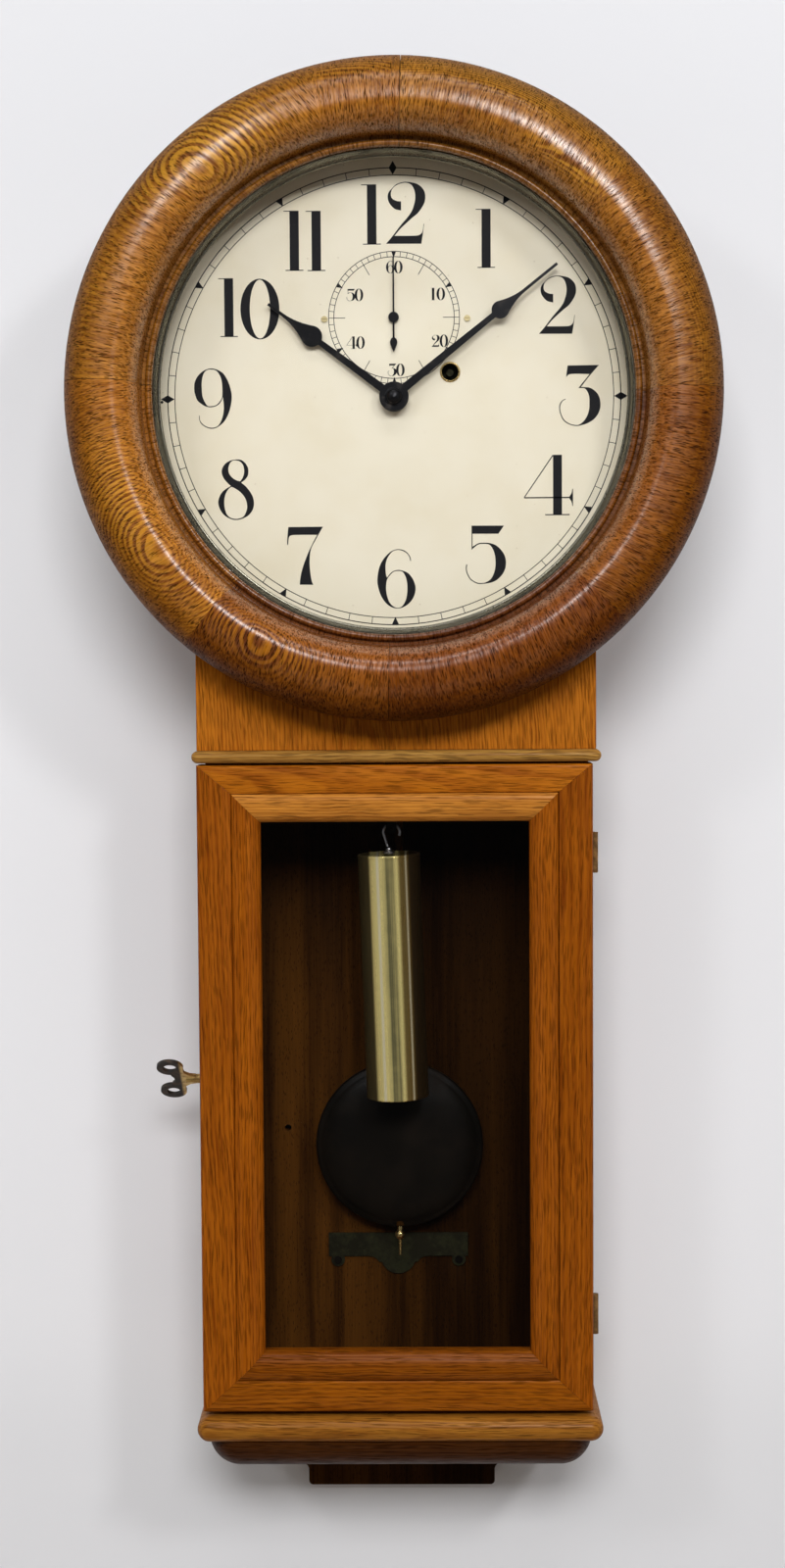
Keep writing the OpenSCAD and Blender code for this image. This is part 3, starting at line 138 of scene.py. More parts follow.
class Wire:
    """A shader socket that takes part in plain arithmetic: each operation adds its Math node."""

    def __init__(self, kit, socket):
        self.kit, self.socket = kit, socket

    def math(self, operation, *values, clamp=False):
        return self.kit.add("Math", {"operation": operation, "use_clamp": clamp}, dict(enumerate(values)))

    def __add__(self, other): return self.math("ADD", self, other)
    def __radd__(self, other): return self.math("ADD", other, self)
    def __sub__(self, other): return self.math("SUBTRACT", self, other)
    def __rsub__(self, other): return self.math("SUBTRACT", other, self)
    def __mul__(self, other): return self.math("MULTIPLY", self, other)
    def __truediv__(self, other): return self.math("DIVIDE", self, other)
    def root(self): return self.math("SQRT", self)
    def part(self): return self.math("FRACT", self)
    def size(self): return self.math("ABSOLUTE", self)
    def clear(self): return self.math("ADD", self, 0.0, clamp=True)

    def step(self, low, high, start=0.0, end=1.0):
        """A smooth step from start to end, as the value goes from low to high."""
        reach = {"Value": self, "From Min": low, "From Max": high, "To Min": start, "To Max": end}
        return self.kit.add("MapRange", {"interpolation_type": "SMOOTHSTEP"}, reach)


class Kit:
    """One material, or the world's light, and its nodes."""

    def __init__(self, holder):
        self.material = bpy.data.materials.new(holder) if isinstance(holder, str) else holder
        self.material.use_nodes = True
        self.tree = self.material.node_tree
        self.tree.nodes.clear()

    def add(self, kind, settings=None, sockets=None, out=0):
        """A node from its type, its settings and the values or links of its sockets."""
        node = self.tree.nodes.new("ShaderNode" + kind)
        for key, value in (settings or {}).items():
            setattr(node, key, value)
        for key, value in (sockets or {}).items():
            if isinstance(value, Wire):
                self.tree.links.new(value.socket, node.inputs[key])
            else:
                node.inputs[key].default_value = value
        return Wire(self, node.outputs[out]) if node.outputs else None

    def place(self):
        """Position on the piece, in metres."""
        return self.add("TexCoord", out="Object")

    def held(self, name):
        """A vector that the mesh holds at each point."""
        return self.add("Attribute", {"attribute_name": name}, out="Vector")

    def split(self, vector):
        node = self.add("SeparateXYZ", sockets={0: vector}).socket.node
        return [Wire(self, out) for out in node.outputs]

    def join(self, x, y, z):
        return self.add("CombineXYZ", sockets={0: x, 1: y, 2: z})

    def scaled(self, vector, scale, shift=(0, 0, 0)):
        return self.add("Mapping", sockets={"Vector": vector, "Scale": scale, "Location": shift})

    def noise(self, vector, scale, detail=3, rough=0.55, out=0):
        sockets = {"Vector": vector, "Scale": scale, "Detail": detail, "Roughness": rough}
        return self.add("TexNoise", sockets=sockets, out=out)

    def cells(self, vector, scale=1.0):
        """Distance to the nearest cell's middle, and that cell's own random number."""
        near = self.add("TexVoronoi", sockets={"Vector": vector, "Scale": scale})
        return near, self.split(Wire(self, near.socket.node.outputs["Color"]))[0]

    def blend(self, share, first, second, mode="MIX"):
        """A colour between two, by their share."""
        first, second = (c if isinstance(c, Wire) else (*c, 1) for c in (first, second))
        kind = {"data_type": "RGBA", "blend_type": mode}
        return self.add("Mix", kind, {0: share, 6: first, 7: second}, out=2)

    def bump(self, height, depth, strength):
        return self.add("Bump", sockets={"Height": height, "Distance": depth, "Strength": strength})

    def finish(self, **sockets):
        """The surface shader with these sockets, as the material's output."""
        names = {key.replace("_", " ").title().replace("Ior", "IOR"): value for key, value in sockets.items()}
        names = {key: (*value, 1) if isinstance(value, tuple) and len(value) == 3 else value
                 for key, value in names.items()}
        return self.show(self.add("BsdfPrincipled", sockets=names))

    def show(self, shader):
        self.add("OutputMaterial", sockets={"Surface": shader})
        return self.material


# ---- Materials ----

def varnished_oak(name, pale, deep, gold, spacing, dash, contrast, coat=1.0):
    """Oak under shellac: growth layers round the stem, pores drawn out along the grain, the finish broken at
    them. The mesh says where the layers stand out, how broad they are and how well the finish is kept. Where
    they stand out, the early wood is full of pores and the late wood golden."""
    kit = Kit(name)
    grain, tint = kit.held("grain"), kit.held("tint")
    figure, breadth, kept = kit.split(kit.held("figure"))
    drift = kit.noise(kit.scaled(grain, (26, 26, 9)), 1, 3, 0.6, out="Color")
    drift = kit.add("VectorMath", {"operation": "SUBTRACT"}, {0: drift, 1: (0.5, 0.5, 0.5)})
    reach = (0.006, 0.004, 0.01)
    spot = kit.add("VectorMath", {"operation": "MULTIPLY_ADD"}, {0: drift, 1: reach, 2: grain})
    x, y, z = kit.split(spot)
    layer = (x * x + y * y).root() / (breadth * spacing)
    phase = (layer + kit.noise(kit.join(layer * 0.5, 0.0, z * 3), 1, 2) * 1.2).part()
    early = phase.step(0.0, 0.16) * phase.step(0.75, 0.38)
    patch = kit.noise(kit.scaled(grain, (42, 42, 15)), 1, 4, 0.6)
    fibre = kit.noise(kit.scaled(spot, (800, 200, dash * 0.22)), 1, 3, 0.6)
    fine = kit.noise(kit.scaled(spot, (1400, 450, dash * 0.55)), 1, 2)
    crowd = 0.52 + figure * (early * 0.75 - 0.36) + (patch - 0.5) * 0.8
    near, chance = kit.cells(kit.scaled(spot, (1150, 330, dash)))
    wide_pores = near.step(0.50, 0.24) * (crowd - chance).step(0.0, 0.15)
    near, chance = kit.cells(kit.scaled(spot, (1700, 520, dash * 1.7), (3, 7, 1)))
    fine_pores = near.step(0.50, 0.22) * (crowd * 0.8 + 0.1 - chance).step(0.0, 0.15)
    pores = (wide_pores + fine_pores * 0.7).clear()
    shade = ((0.60 - early * (figure * 0.4 + 0.10) + (patch - 0.5) * 1.2)
             + ((fibre - 0.5) * 1.9 + (fine - 0.5) * 1.7) * contrast).clear()
    colour = kit.blend(shade, deep, pale)
    colour = kit.blend((figure * (0.95 - early)).clear() * 0.8, colour, gold)
    colour = kit.blend(pores * (0.8 * contrast), colour, (0.016, 0.0050, 0.0007))
    colour = kit.blend(1.0, colour, tint, "MULTIPLY")
    return kit.finish(base_color=colour, roughness=0.46 + pores * 0.3 - (fine - 0.5) * 0.3,
                      coat_weight=(1 - pores * 0.9) * (fibre.step(0.35, 0.58) * 0.7 + 0.3) * kept * coat,
                      coat_roughness=0.29, coat_ior=1.75, specular_ior_level=0.05,
                      normal=kit.bump(fibre * 0.5 + fine * 0.3 - pores, 0.0002, 0.9))


def stained_wood(pale, deep):
    """Stained wood of the inside: straight faint grain and fine pores."""
    kit = Kit("stained_wood")
    grain, tint = kit.held("grain"), kit.held("tint")
    wave = kit.noise(kit.scaled(grain, (60, 60, 3)), 1, 4)
    fibre = kit.noise(kit.scaled(grain, (900, 900, 22)), 1, 2)
    near, chance = kit.cells(kit.scaled(grain, (1400, 1400, 260)))
    pores = near.step(0.40, 0.22) * chance.step(0.4, 0.34, 0, 1)
    colour = kit.blend((wave.step(0.35, 0.65) * 0.7 + (fibre - 0.5) * 0.8 + 0.1).clear(), deep, pale)
    colour = kit.blend(pores * 0.7, colour, (0.006, 0.0022, 0.0008))
    colour = kit.blend(1.0, colour, tint, "MULTIPLY")
    return kit.finish(base_color=colour, roughness=0.5 + pores * 0.2, specular_ior_level=0.04,
                      normal=kit.bump(fibre - pores, 0.0001, 0.6))


def dial_enamel():
    """Cream paint on sheet metal, aged unevenly, a little browner towards the rim."""
    kit = Kit("cream_dial_paint")
    place = kit.place()
    x, _, z = kit.split(place)
    rim = (x * x + z * z).root().step(0.100, 0.150)
    cloud = kit.noise(place, 22, 4, 0.6)
    speck = kit.cells(kit.scaled(place, (260, 260, 260)))
    dust = speck[0].step(0.16, 0.05) * speck[1].step(0.10, 0.05)
    aged = (cloud.step(0.35, 0.75) * 0.55 + rim * 0.35).clear()
    colour = kit.blend(aged, (0.86, 0.80, 0.64), (0.78, 0.70, 0.51))
    colour = kit.blend(dust * 0.45, colour, (0.36, 0.25, 0.13))
    height = kit.noise(place, 900, 2)
    return kit.finish(base_color=colour, roughness=0.42 + cloud * 0.1, coat_weight=0.15, coat_roughness=0.3,
                      normal=kit.bump(height, 0.00002, 0.08))


def print_black():
    """Black numerals and lines, a little worn."""
    kit = Kit("black_print")
    worn = kit.noise(kit.place(), 700, 3)
    colour = kit.blend(worn.step(0.60, 0.80), (0.006, 0.006, 0.008), (0.025, 0.022, 0.020))
    return kit.finish(base_color=colour, roughness=0.55 + worn * 0.15, specular_ior_level=0.25)


def metal(name, bright, tarnish, cover, shine, metallic=1.0, size=60, scratch=0.3, specks=0.0, gloss=0.5):
    """Metal whose tarnish lies in clouds and specks, with fine scratches."""
    kit = Kit(name)
    place = kit.place()
    cloud = kit.noise(place, size, 5, 0.65)
    fine = kit.noise(kit.scaled(place, (1, 1, 0.3)), 1400, 2)
    near, chance = kit.cells(place, size * 9)
    spot = near.step(0.35, 0.15) * chance.step(0.30, 0.2) * specks
    share = (cloud.step(0.62 - cover * 0.5, 0.86 - cover * 0.5) + spot).clear()
    colour = kit.blend(share, bright, tarnish)
    return kit.finish(base_color=colour, metallic=(metallic - share * 0.25).clear(),
                      roughness=shine + share * 0.22 + (fine - 0.5) * 0.12, specular_ior_level=gloss,
                      normal=kit.bump(fine * scratch + cloud * 0.2 - spot * 0.6, 0.00002, 0.35))


def weight_brass():
    """Lacquered brass with tarnish streaks, and painted light across it: pale on the lit left, dark brown on
    the right side in shade, two thin painted highlight lines, a grey-green middle that is partly tarnish and
    partly painted reflection, and edges darkened as painted reflection.
    """
    kit = Kit("weight_brass")
    side, _, height = kit.split(kit.held("grain"))
    cloud = kit.noise(kit.place(), 60, 4, 0.6)
    streak = kit.noise(kit.join(side * 9, 0.0, height * 4), 1, 3, 0.6)
    thread = kit.noise(kit.join(side * 45, 0.0, height * 2), 1, 2)
    # painted reflection: the middle band greys as if it mirrored the dark room; the noise added to it below
    # is real tarnish
    grey = side.step(-0.22, -0.08) * side.step(0.22, 0.12)
    # painted highlights: two thin bright upright lines
    line = (side + 0.37 + (streak - 0.5) * 0.05).size().step(0.07, 0.02)
    line = line + (side - 0.53).size().step(0.05, 0.01) * 0.6
    share = (grey * 0.8 + (streak - 0.5) * 1.6 + (cloud - 0.5) * 0.6 + (thread - 0.5) * 0.8).clear()
    # painted reflection: both edges go dark as if they mirrored the dark inside of the case
    edge = (side.step(-0.57, -0.67) + side.step(0.54, 0.66)).clear()
    # painted light and shade: pale brass on the lit left and middle, dark brown on the right side in shade
    colour = kit.blend(side.step(0.22, 0.36), (1.0, 0.84, 0.33), (0.20, 0.125, 0.030))
    colour = kit.blend(share, colour, (0.20, 0.18, 0.080))
    colour = kit.blend(line.clear() * 0.9, colour, (1.0, 0.90, 0.60))
    colour = kit.blend(edge * 0.93, colour, (0.030, 0.016, 0.006))
    return kit.finish(base_color=colour, metallic=0.66,
                      roughness=0.27 + share * 0.12 - line * 0.08 + edge * 0.2,
                      normal=kit.bump(thread * 0.6 + streak, 0.0003, 0.5))


def key_metal():
    """A brass shank with a blackened iron bow, which starts 141 mm to the left."""
    kit = Kit("key_metal")
    place = kit.place()
    bow = kit.split(place)[0].step(-0.1405, -0.1425)
    cloud = kit.noise(place, 260, 4)
    colour = kit.blend(bow, kit.blend(cloud.step(0.4, 0.7), (0.62, 0.43, 0.16), (0.30, 0.18, 0.06)),
                       kit.blend(cloud.step(0.45, 0.75), (0.035, 0.030, 0.026), (0.10, 0.065, 0.04)))
    return kit.finish(base_color=colour, metallic=0.9 - bow * 0.3, roughness=0.30 + bow * 0.2 + cloud * 0.1,
                      normal=kit.bump(cloud, 0.0001, 0.5))


def clear_glass():
    """Thin window glass: what it doesn't mirror goes straight through."""
    kit = Kit("clear_glass")
    outside = 1 - kit.add("NewGeometry", out="Backfacing")
    return kit.finish(base_color=(0.95, 0.97, 0.96), metallic=1.0, roughness=0.03,
                      alpha=kit.add("Fresnel", sockets={"IOR": 1.42}) * outside * 0.9)


def twisted_cable():
    """Brass-coated strand, laid in a spiral."""
    kit = Kit("twisted_cable")
    x, _, z = kit.split(kit.place())
    lay = ((x * 900 + z * 620).part() - 0.5).size()
    # painted shade: the grooves of the lay are coloured dark
    colour = kit.blend(lay.step(0.05, 0.3), (0.10, 0.07, 0.03), (0.50, 0.38, 0.18))
    return kit.finish(base_color=colour, metallic=1.0, roughness=0.4, normal=kit.bump(lay, 0.0002, 0.7))


def room_paint(name, colour, see_through=False):
    """Plain paint with a little mottle, and painted shade that makes it greyer high up and low down; the wall
    is see-through from behind.
    """
    kit = Kit(name)
    mottle = kit.noise(kit.place(), 3, 2)
    level = kit.split(kit.place())[2]
    # painted shade: greyer above the case and below it, on top of the random mottle
    grey = (level.step(-0.20, 0.25) + level.step(-0.60, -0.72) * 0.5 + mottle * 0.1).clear()
    tone = kit.blend(grey, colour, [c * 0.88 for c in colour])
    shader = kit.add("BsdfDiffuse", sockets={"Color": tone})
    if see_through:
        back = kit.add("NewGeometry", out="Backfacing")
        shader = kit.add("MixShader", sockets={0: back, 1: shader, 2: kit.add("BsdfTransparent")})
    return kit.show(shader)


# ---- Mesh making ----

def arc(cx, cy, rx, ry, start, end, steps):
    """Points of an ellipse's arc, angles in degrees."""
    a = np.radians(np.linspace(start, end, steps + 1))
    return np.column_stack((cx + rx * np.cos(a), cy + ry * np.sin(a)))


def smooth_loop(points, steps=6):
    """A closed outline through the points: cubic between them, sharp at those marked 1."""
    p = np.array([q[:2] for q in points], float)
    sharp = np.array([len(q) > 2 for q in points])
    before, after, next2 = np.roll(p, 1, 0), np.roll(p, -1, 0), np.roll(p, -2, 0)
    span = np.linalg.norm(after - p, axis=1, keepdims=True)
    last = np.linalg.norm(p - before, axis=1, keepdims=True)
    ahead = np.roll(span, -1, 0)
    leave = np.where(sharp[:, None], after - p, (after - before) / (span + last) * span)
    reach = np.where(np.roll(sharp, -1)[:, None], after - p, (next2 - p) / (span + ahead) * span)
    t = (np.arange(steps) / steps)[None, :, None]
    curve = ((2 * t ** 3 - 3 * t ** 2 + 1) * p[:, None] + (t ** 3 - 2 * t ** 2 + t) * leave[:, None]
             + (3 * t ** 2 - 2 * t ** 3) * after[:, None] + (t ** 3 - t ** 2) * reach[:, None])
    return curve.reshape(-1, 2)


def skin(points, wrap_u=False, wrap_v=False):
    """Four-sided faces over a grid of points, closed round where asked."""
    n, m = points.shape[:2]
    i, j = np.meshgrid(np.arange(n if wrap_u else n - 1), np.arange(m if wrap_v else m - 1), indexing="ij")
    i2, j2 = (i + 1) % n, (j + 1) % m
    faces = np.stack((i * m + j, i2 * m + j, i2 * m + j2, i * m + j2), -1).reshape(-1, 4)
    return points.reshape(-1, 3), faces.tolist()


def turned(profile, steps, at=(0.0, 0.0), closed=True):
    """A profile of radius and depth, turned round an axis that runs forward through the point at."""
    a = np.linspace(0, 2 * np.pi, steps, endpoint=False)[:, None]
    r, d = profile[None, :, 0], profile[None, :, 1]
    grid = np.stack((at[0] + r * np.sin(a), -d + 0 * a, at[1] + r * np.cos(a)), -1)
    return skin(grid, True, closed)


def capped(grid):
    """A closed profile carried through stations, shut at both ends by flat fills."""
    verts, faces = skin(grid, False, True)
    m = grid.shape[1]
    for first, row in ((0, grid[0]), (len(verts) - m, grid[-1])):
        ends = tessellate_polygon([[Vector(p) for p in row]])
        faces += [[first + i for i in tri] for tri in ends]
    return verts, faces


def slab(loops, d0, d1):
    """Flat outlines of x and z, the later ones holes, filled and given thickness from depth d0 to d1."""
    flat = np.concatenate(loops)
    n = len(flat)
    tris = tessellate_polygon([[Vector((x, 0, z)) for x, z in loop] for loop in loops])
    verts = np.concatenate([np.column_stack((flat[:, 0], np.full(n, -d), flat[:, 1])) for d in (d0, d1)])
    faces = [list(t) for t in tris] + [[n + i for i in reversed(t)] for t in tris]
    start = 0
    for loop in loops:
        i = np.arange(len(loop))
        j = (i + 1) % len(loop)
        faces += (np.stack((i, j, j + n, i + n), -1) + start).tolist()
        start += len(loop)
    return verts, faces


def boxes(corners, d0, d1):
    """Many flat four-cornered marks at once, each a thin closed slab; corners is k by 4 by 2."""
    k = len(corners)
    layers = [np.stack((corners[..., 0], np.full((k, 4), -d), corners[..., 1]), -1) for d in (d0, d1)]
    verts = np.concatenate(layers, 1).reshape(-1, 3)
    one = np.array([[0, 1, 2, 3], [7, 6, 5, 4], [0, 4, 5, 1], [1, 5, 6, 2], [2, 6, 7, 3], [3, 7, 4, 0]])
    return verts, (one[None] + 8 * np.arange(k)[:, None, None]).reshape(-1, 4).tolist()


def rays(angles, radii, aside, at=(0.0, 0.0)):
    """Four-cornered marks that point at a centre, at clock angles in degrees: each corner's radius and its
    distance to the side."""
    a = np.radians(np.asarray(angles, float))[:, None]
    out = np.stack((np.sin(a), np.cos(a)), -1)
    side = np.stack((np.cos(a), -np.sin(a)), -1)
    r, w = (np.array(values, float)[None, :, None] for values in (radii, aside))
    return out * r + side * w + np.array(at)


def spokes(angles, r0, r1, w0, w1, at=(0.0, 0.0)):
    """Marks from radius r0, w0 wide, to radius r1, w1 wide."""
    return rays(angles, (r0, r0, r1, r1), (-w0 / 2, w0 / 2, w1 / 2, -w1 / 2), at)


def merged(mesh, flat):
    """Joins the loose corners of a mesh, drops empty faces, takes flat neighbours together where asked and
    turns all faces outward."""
    work = bmesh.new()
    work.from_mesh(mesh)
    bmesh.ops.remove_doubles(work, verts=work.verts, dist=WELD)
    bmesh.ops.dissolve_degenerate(work, edges=work.edges, dist=NO_LENGTH)
    if flat:
        bmesh.ops.dissolve_limit(work, angle_limit=math.radians(0.4), verts=work.verts, edges=work.edges)
    bmesh.ops.recalc_face_normals(work, faces=work.faces)
    work.to_mesh(mesh)
    work.free()


def points_of(mesh):
    co = np.zeros(len(mesh.vertices) * 3)
    mesh.vertices.foreach_get("co", co)
    return co.reshape(-1, 3)


def hold(mesh, name, values):
    """Keeps a vector at each point of the mesh, for its material."""
    layer = mesh.attributes.new(name, "FLOAT_VECTOR", "POINT")
    vectors = np.broadcast_to(values, (len(mesh.vertices), 3)).astype(np.float32)
    layer.data.foreach_set("vector", vectors.ravel())


def settle(piece, material, body, slot, nodes=(), angle=32, bevel=None, grain=None, tint=(1, 1, 1),
           figure=(0.2, 1.0, 0.5)):
    """Gives a piece its finish, smooth faces, softened edges, body and the nodes that it stands for; the slot
    is not used. Angles are in degrees, the bevel in millimetres."""
    mesh = piece.data
    if grain is not None:
        spots = points_of(mesh)
        hold(mesh, "grain", grain(spots))
        hold(mesh, "tint", tint(spots) if callable(tint) else np.array(tint, float))
        hold(mesh, "figure", figure(spots) if callable(figure) else np.array(figure))
    mesh.materials.clear()
    mesh.materials.append(material)
    mesh.shade_smooth()
    mesh.set_sharp_from_angle(angle=math.radians(angle))
    if bevel:
        edge = piece.modifiers.new("edge", "BEVEL")
        edge.width, edge.segments = bevel / 1000, 2
        edge.limit_method, edge.angle_limit = "ANGLE", math.radians(35)
        edge.harden_normals = True
    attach(piece, body)
    if nodes:
        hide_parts(*nodes)
    return piece


def make(name, shells, *args, **kinds):
    """One piece out of closed shells given in millimetres."""
    verts, faces, count = [], [], 0
    for points, sides in shells:
        verts.append(points)
        faces += [[count + i for i in side] for side in sides]
        count += len(points)
    mesh = bpy.data.meshes.new(name)
    mesh.from_pydata((np.concatenate(verts) / 1000).tolist(), [], faces)
    merged(mesh, False)
    return settle(put(name, mesh), *args, **kinds)


def dressed(node, material, slot, bevel, levels=(), **kinds):
    """A merged copy of a CAD node, smoothed and with softened edges, in the node's place. Cuts at the given
    levels give it points between its edges, for colour that changes along it."""
    source = NODES[node]
    mesh = source.data.copy()
    mesh.name = node + "_dressed"
    merged(mesh, True)
    work = bmesh.new()
    work.from_mesh(mesh)
    for axis, place in levels:
        normal = [float(k == axis) for k in range(3)]
        bmesh.ops.bisect_plane(work, geom=work.verts[:] + work.edges[:] + work.faces[:], dist=NO_LENGTH,
                               plane_co=[place * n for n in normal], plane_no=normal)
    work.to_mesh(mesh)
    work.free()
    piece = put(node + "_dressed", mesh)
    return settle(piece, material, source["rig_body"], slot, (node,), bevel=bevel, **kinds)


def board(along, pith, tilt=(0.0, 0.0), face=1):
    """Wood coordinates of a straight board: across, through and along the grain, from the stem's middle.
    The stem leans across and through by the tilt."""
    across = 3 - along - face

    def grain(spots):
        z = spots[:, along]
        return np.column_stack((spots[:, across] + pith[0] + tilt[0] * z,
                                spots[:, face] + pith[1] + tilt[1] * z, z + pith[2]))
    return grain


# ---- Wooden ring, in sectors whose grain runs outward from the dial ----

def around(spots):
    """Radius in metres and clock angle in radians of points round the hand arbor."""
    return np.hypot(spots[:, 0], spots[:, 2]), np.arctan2(spots[:, 0], spots[:, 2])


def ring_section():
    """Closed outline of radius and depth: back, cove, half-round, groove, bead and bore. The half-round is a
    little worn down outside, so that its crown lies nearer the dial than in the CAD."""
    return np.concatenate((
        [[RABBET_R, RING_BACK], [RING_R - 4, RING_BACK]],
        arc(RING_R, RING_BACK + 3, 4, 4, 180, 90, 5),
        arc(CROWN_R, ROUND_D, RING_R - CROWN_R, RING_CROWN, 0, 90, 26),
        arc(CROWN_R, ROUND_D, CROWN_R - ROUND_R, RING_CROWN, 94, 180, 18),
        [[ROUND_R - 0.5, ROUND_D - 2.4], [ROUND_R - 2.5, ROUND_D - 2.4]],
        arc(BORE_R + 2.15, ROUND_D - 1.6, 2.15, 2.6, 0, 180, 12),
        [[BORE_R, SASH_D + 0.2], [RABBET_R, SASH_D + 0.2]]))


def ring_figure(spots):
    """How far the growth layers stand out: soft oval patches about chosen clock angles and radii. With it,
    the breadth of the layers, and the finish, which is dull towards the wall."""
    radius, turn = around(spots)
    radius, turn = radius * 1000, np.degrees(turn) % 360
    # clock angle, radius, reach round the ring in degrees, reach across it, strength
    patches = [(326, 180, 10, 20, 1.0), (312, 190, 9, 8, 0.6), (22, 194, 26, 7, 0.6), (40, 170, 9, 6, 0.6),
               (207, 174, 13, 13, 0.9), (246, 180, 17, 15, 0.8), (350, 194, 10, 7, 0.3),
               (75, 192, 14, 8, 0.2), (288, 190, 12, 7, 0.25)]
    total = np.zeros(len(spots))
    for angle, r, wide, deep, strength in patches:
        off = (turn - angle + 180) % 360 - 180
        total += strength * np.exp(-(off / wide) ** 2 - ((radius - r) / deep) ** 2)
    breadth = np.where((turn > 272) & (turn < 345), 2.0, np.where(turn < 90, 0.6, 1.0))
    kept = np.interp(radius, [181, 190], [1.0, 0.08])
    return np.column_stack((np.clip(total, 0, 1), breadth, kept))


def ring_sector(number, start, end, pith, tilt, lean, colour, material):
    """The section carried from one clock angle to the next. Wood coordinates: arc length across, depth
    through, radius along; the grain fans out less than the radius does, so that it leans a little towards the
    joints."""
    a = np.radians(np.linspace(start, end, max(8, int((end - start) / 1.5))))[:, None]
    section = ring_section()
    r, d = section[None, :, 0], section[None, :, 1]
    grid = np.stack((r * np.sin(a), -d + 0 * a, r * np.cos(a)), -1)
    middle = math.radians((start + end) / 2)

    def grain(spots):
        radius, turn = around(spots)
        turn = (turn - middle + np.pi) % (2 * np.pi) - np.pi
        along = radius - RING_MIDDLE
        across = (RING_MIDDLE + 0.4 * along) * turn
        return np.column_stack((across + lean * along + pith[0] + tilt[0] * along,
                                spots[:, 1] + 0.13 + pith[1] + tilt[1] * along, along + pith[2]))

    def tint(spots):
        """The sector's colour with painted light: paler on the inner side as a painted highlight, and darker
        towards the wall as painted shade on the outer flank.
        """
        # worn holds painted light, not wear: a painted highlight on the inner side and painted shade on the
        # outer flank
        worn = np.interp(around(spots)[0], [0.150, 0.156, 0.160, 0.172, 0.183, 0.191, 0.203],
                         [0.75, 0.9, 1.3, 1.2, 1.0, 0.78, 0.5])
        return worn[:, None] * np.array(colour)

    return make(f"ring_sector_{number}", [capped(grid)], material, "head_door", "oak", ("head_ring",),
                grain=grain, tint=tint, figure=ring_figure)


def build_ring(oak):
    """Eight sectors of wood, side by side."""
    # clock angles of the joints, with half the open width at each in degrees; only four joints show
    joints = [(1.6, 0.06), (47.5, 0), (90, 0.03), (135, 0), (181.2, 0.05), (220, 0), (272, 0.05), (345, 0),
              (361.6, 0.06)]
    # for each sector where its stem lies, how it leans, and its colour
    kinds = [((0.004, 0.800, 0.3), (0.0, 0.06), 0.05, (0.97, 0.93, 0.78)),
             ((-0.050, 0.400, 1.1), (0.1, 0.05), -0.06, (0.90, 0.82, 0.65)),
             ((0.060, 0.450, 2.4), (0.0, -0.08), 0.10, (0.67, 0.50, 0.18)),
             ((-0.080, 0.450, 3.7), (0.0, 0.06), -0.05, (0.51, 0.32, 0.06)),
             ((-0.022, 0.052, 4.2), (0.0, -0.03), 0.04, (0.64, 0.44, 0.16)),
             ((0.030, 0.060, 5.6), (0.08, 0.06), -0.10, (1.06, 0.92, 0.60)),
             ((-0.030, 0.034, 6.5), (0.0, 0.0), 0.15, (1.03, 0.97, 0.76)),
             ((0.055, 0.400, 7.9), (-0.05, 0.04), 0.02, (0.97, 0.88, 0.66))]
    for k, (pith, tilt, lean, tint) in enumerate(kinds):
        (start, open_before), (end, open_after) = joints[k], joints[k + 1]
        ring_sector(k + 1, start + open_before, end - open_after, pith, tilt, lean, tint, oak)


def build_sash(nickel):
    """Nickelled sash: a concave cove inside the wood, with the flange that holds the glass."""
    flange = RABBET_R - 0.15
    section = np.concatenate((
        [[flange, GLASS_BACK - 3], [flange, SASH_D], [BORE_R - 0.15, SASH_D], [BORE_R - 0.15, SASH_D + 3]],
        arc(SASH_R + 0.4, SASH_D + 3, SASH_W - 1.1, 7.4, 0, -90, 14),
        [[SASH_R, GLASS_FRONT + 0.1], [flange - 2, GLASS_FRONT + 0.1], [flange - 2, GLASS_BACK - 3]]))
    stop = np.array([[SASH_R + 2, GLASS_BACK - 1.9], [flange - 2.1, GLASS_BACK - 1.9],
                     [flange - 2.1, GLASS_BACK - 0.1], [SASH_R + 2, GLASS_BACK - 0.1]])
    make("sash", [turned(section, 192), turned(stop, 96)], nickel, "head_door", "nickel",
         ("head_sash",), angle=40)


# ---- Dial print ----

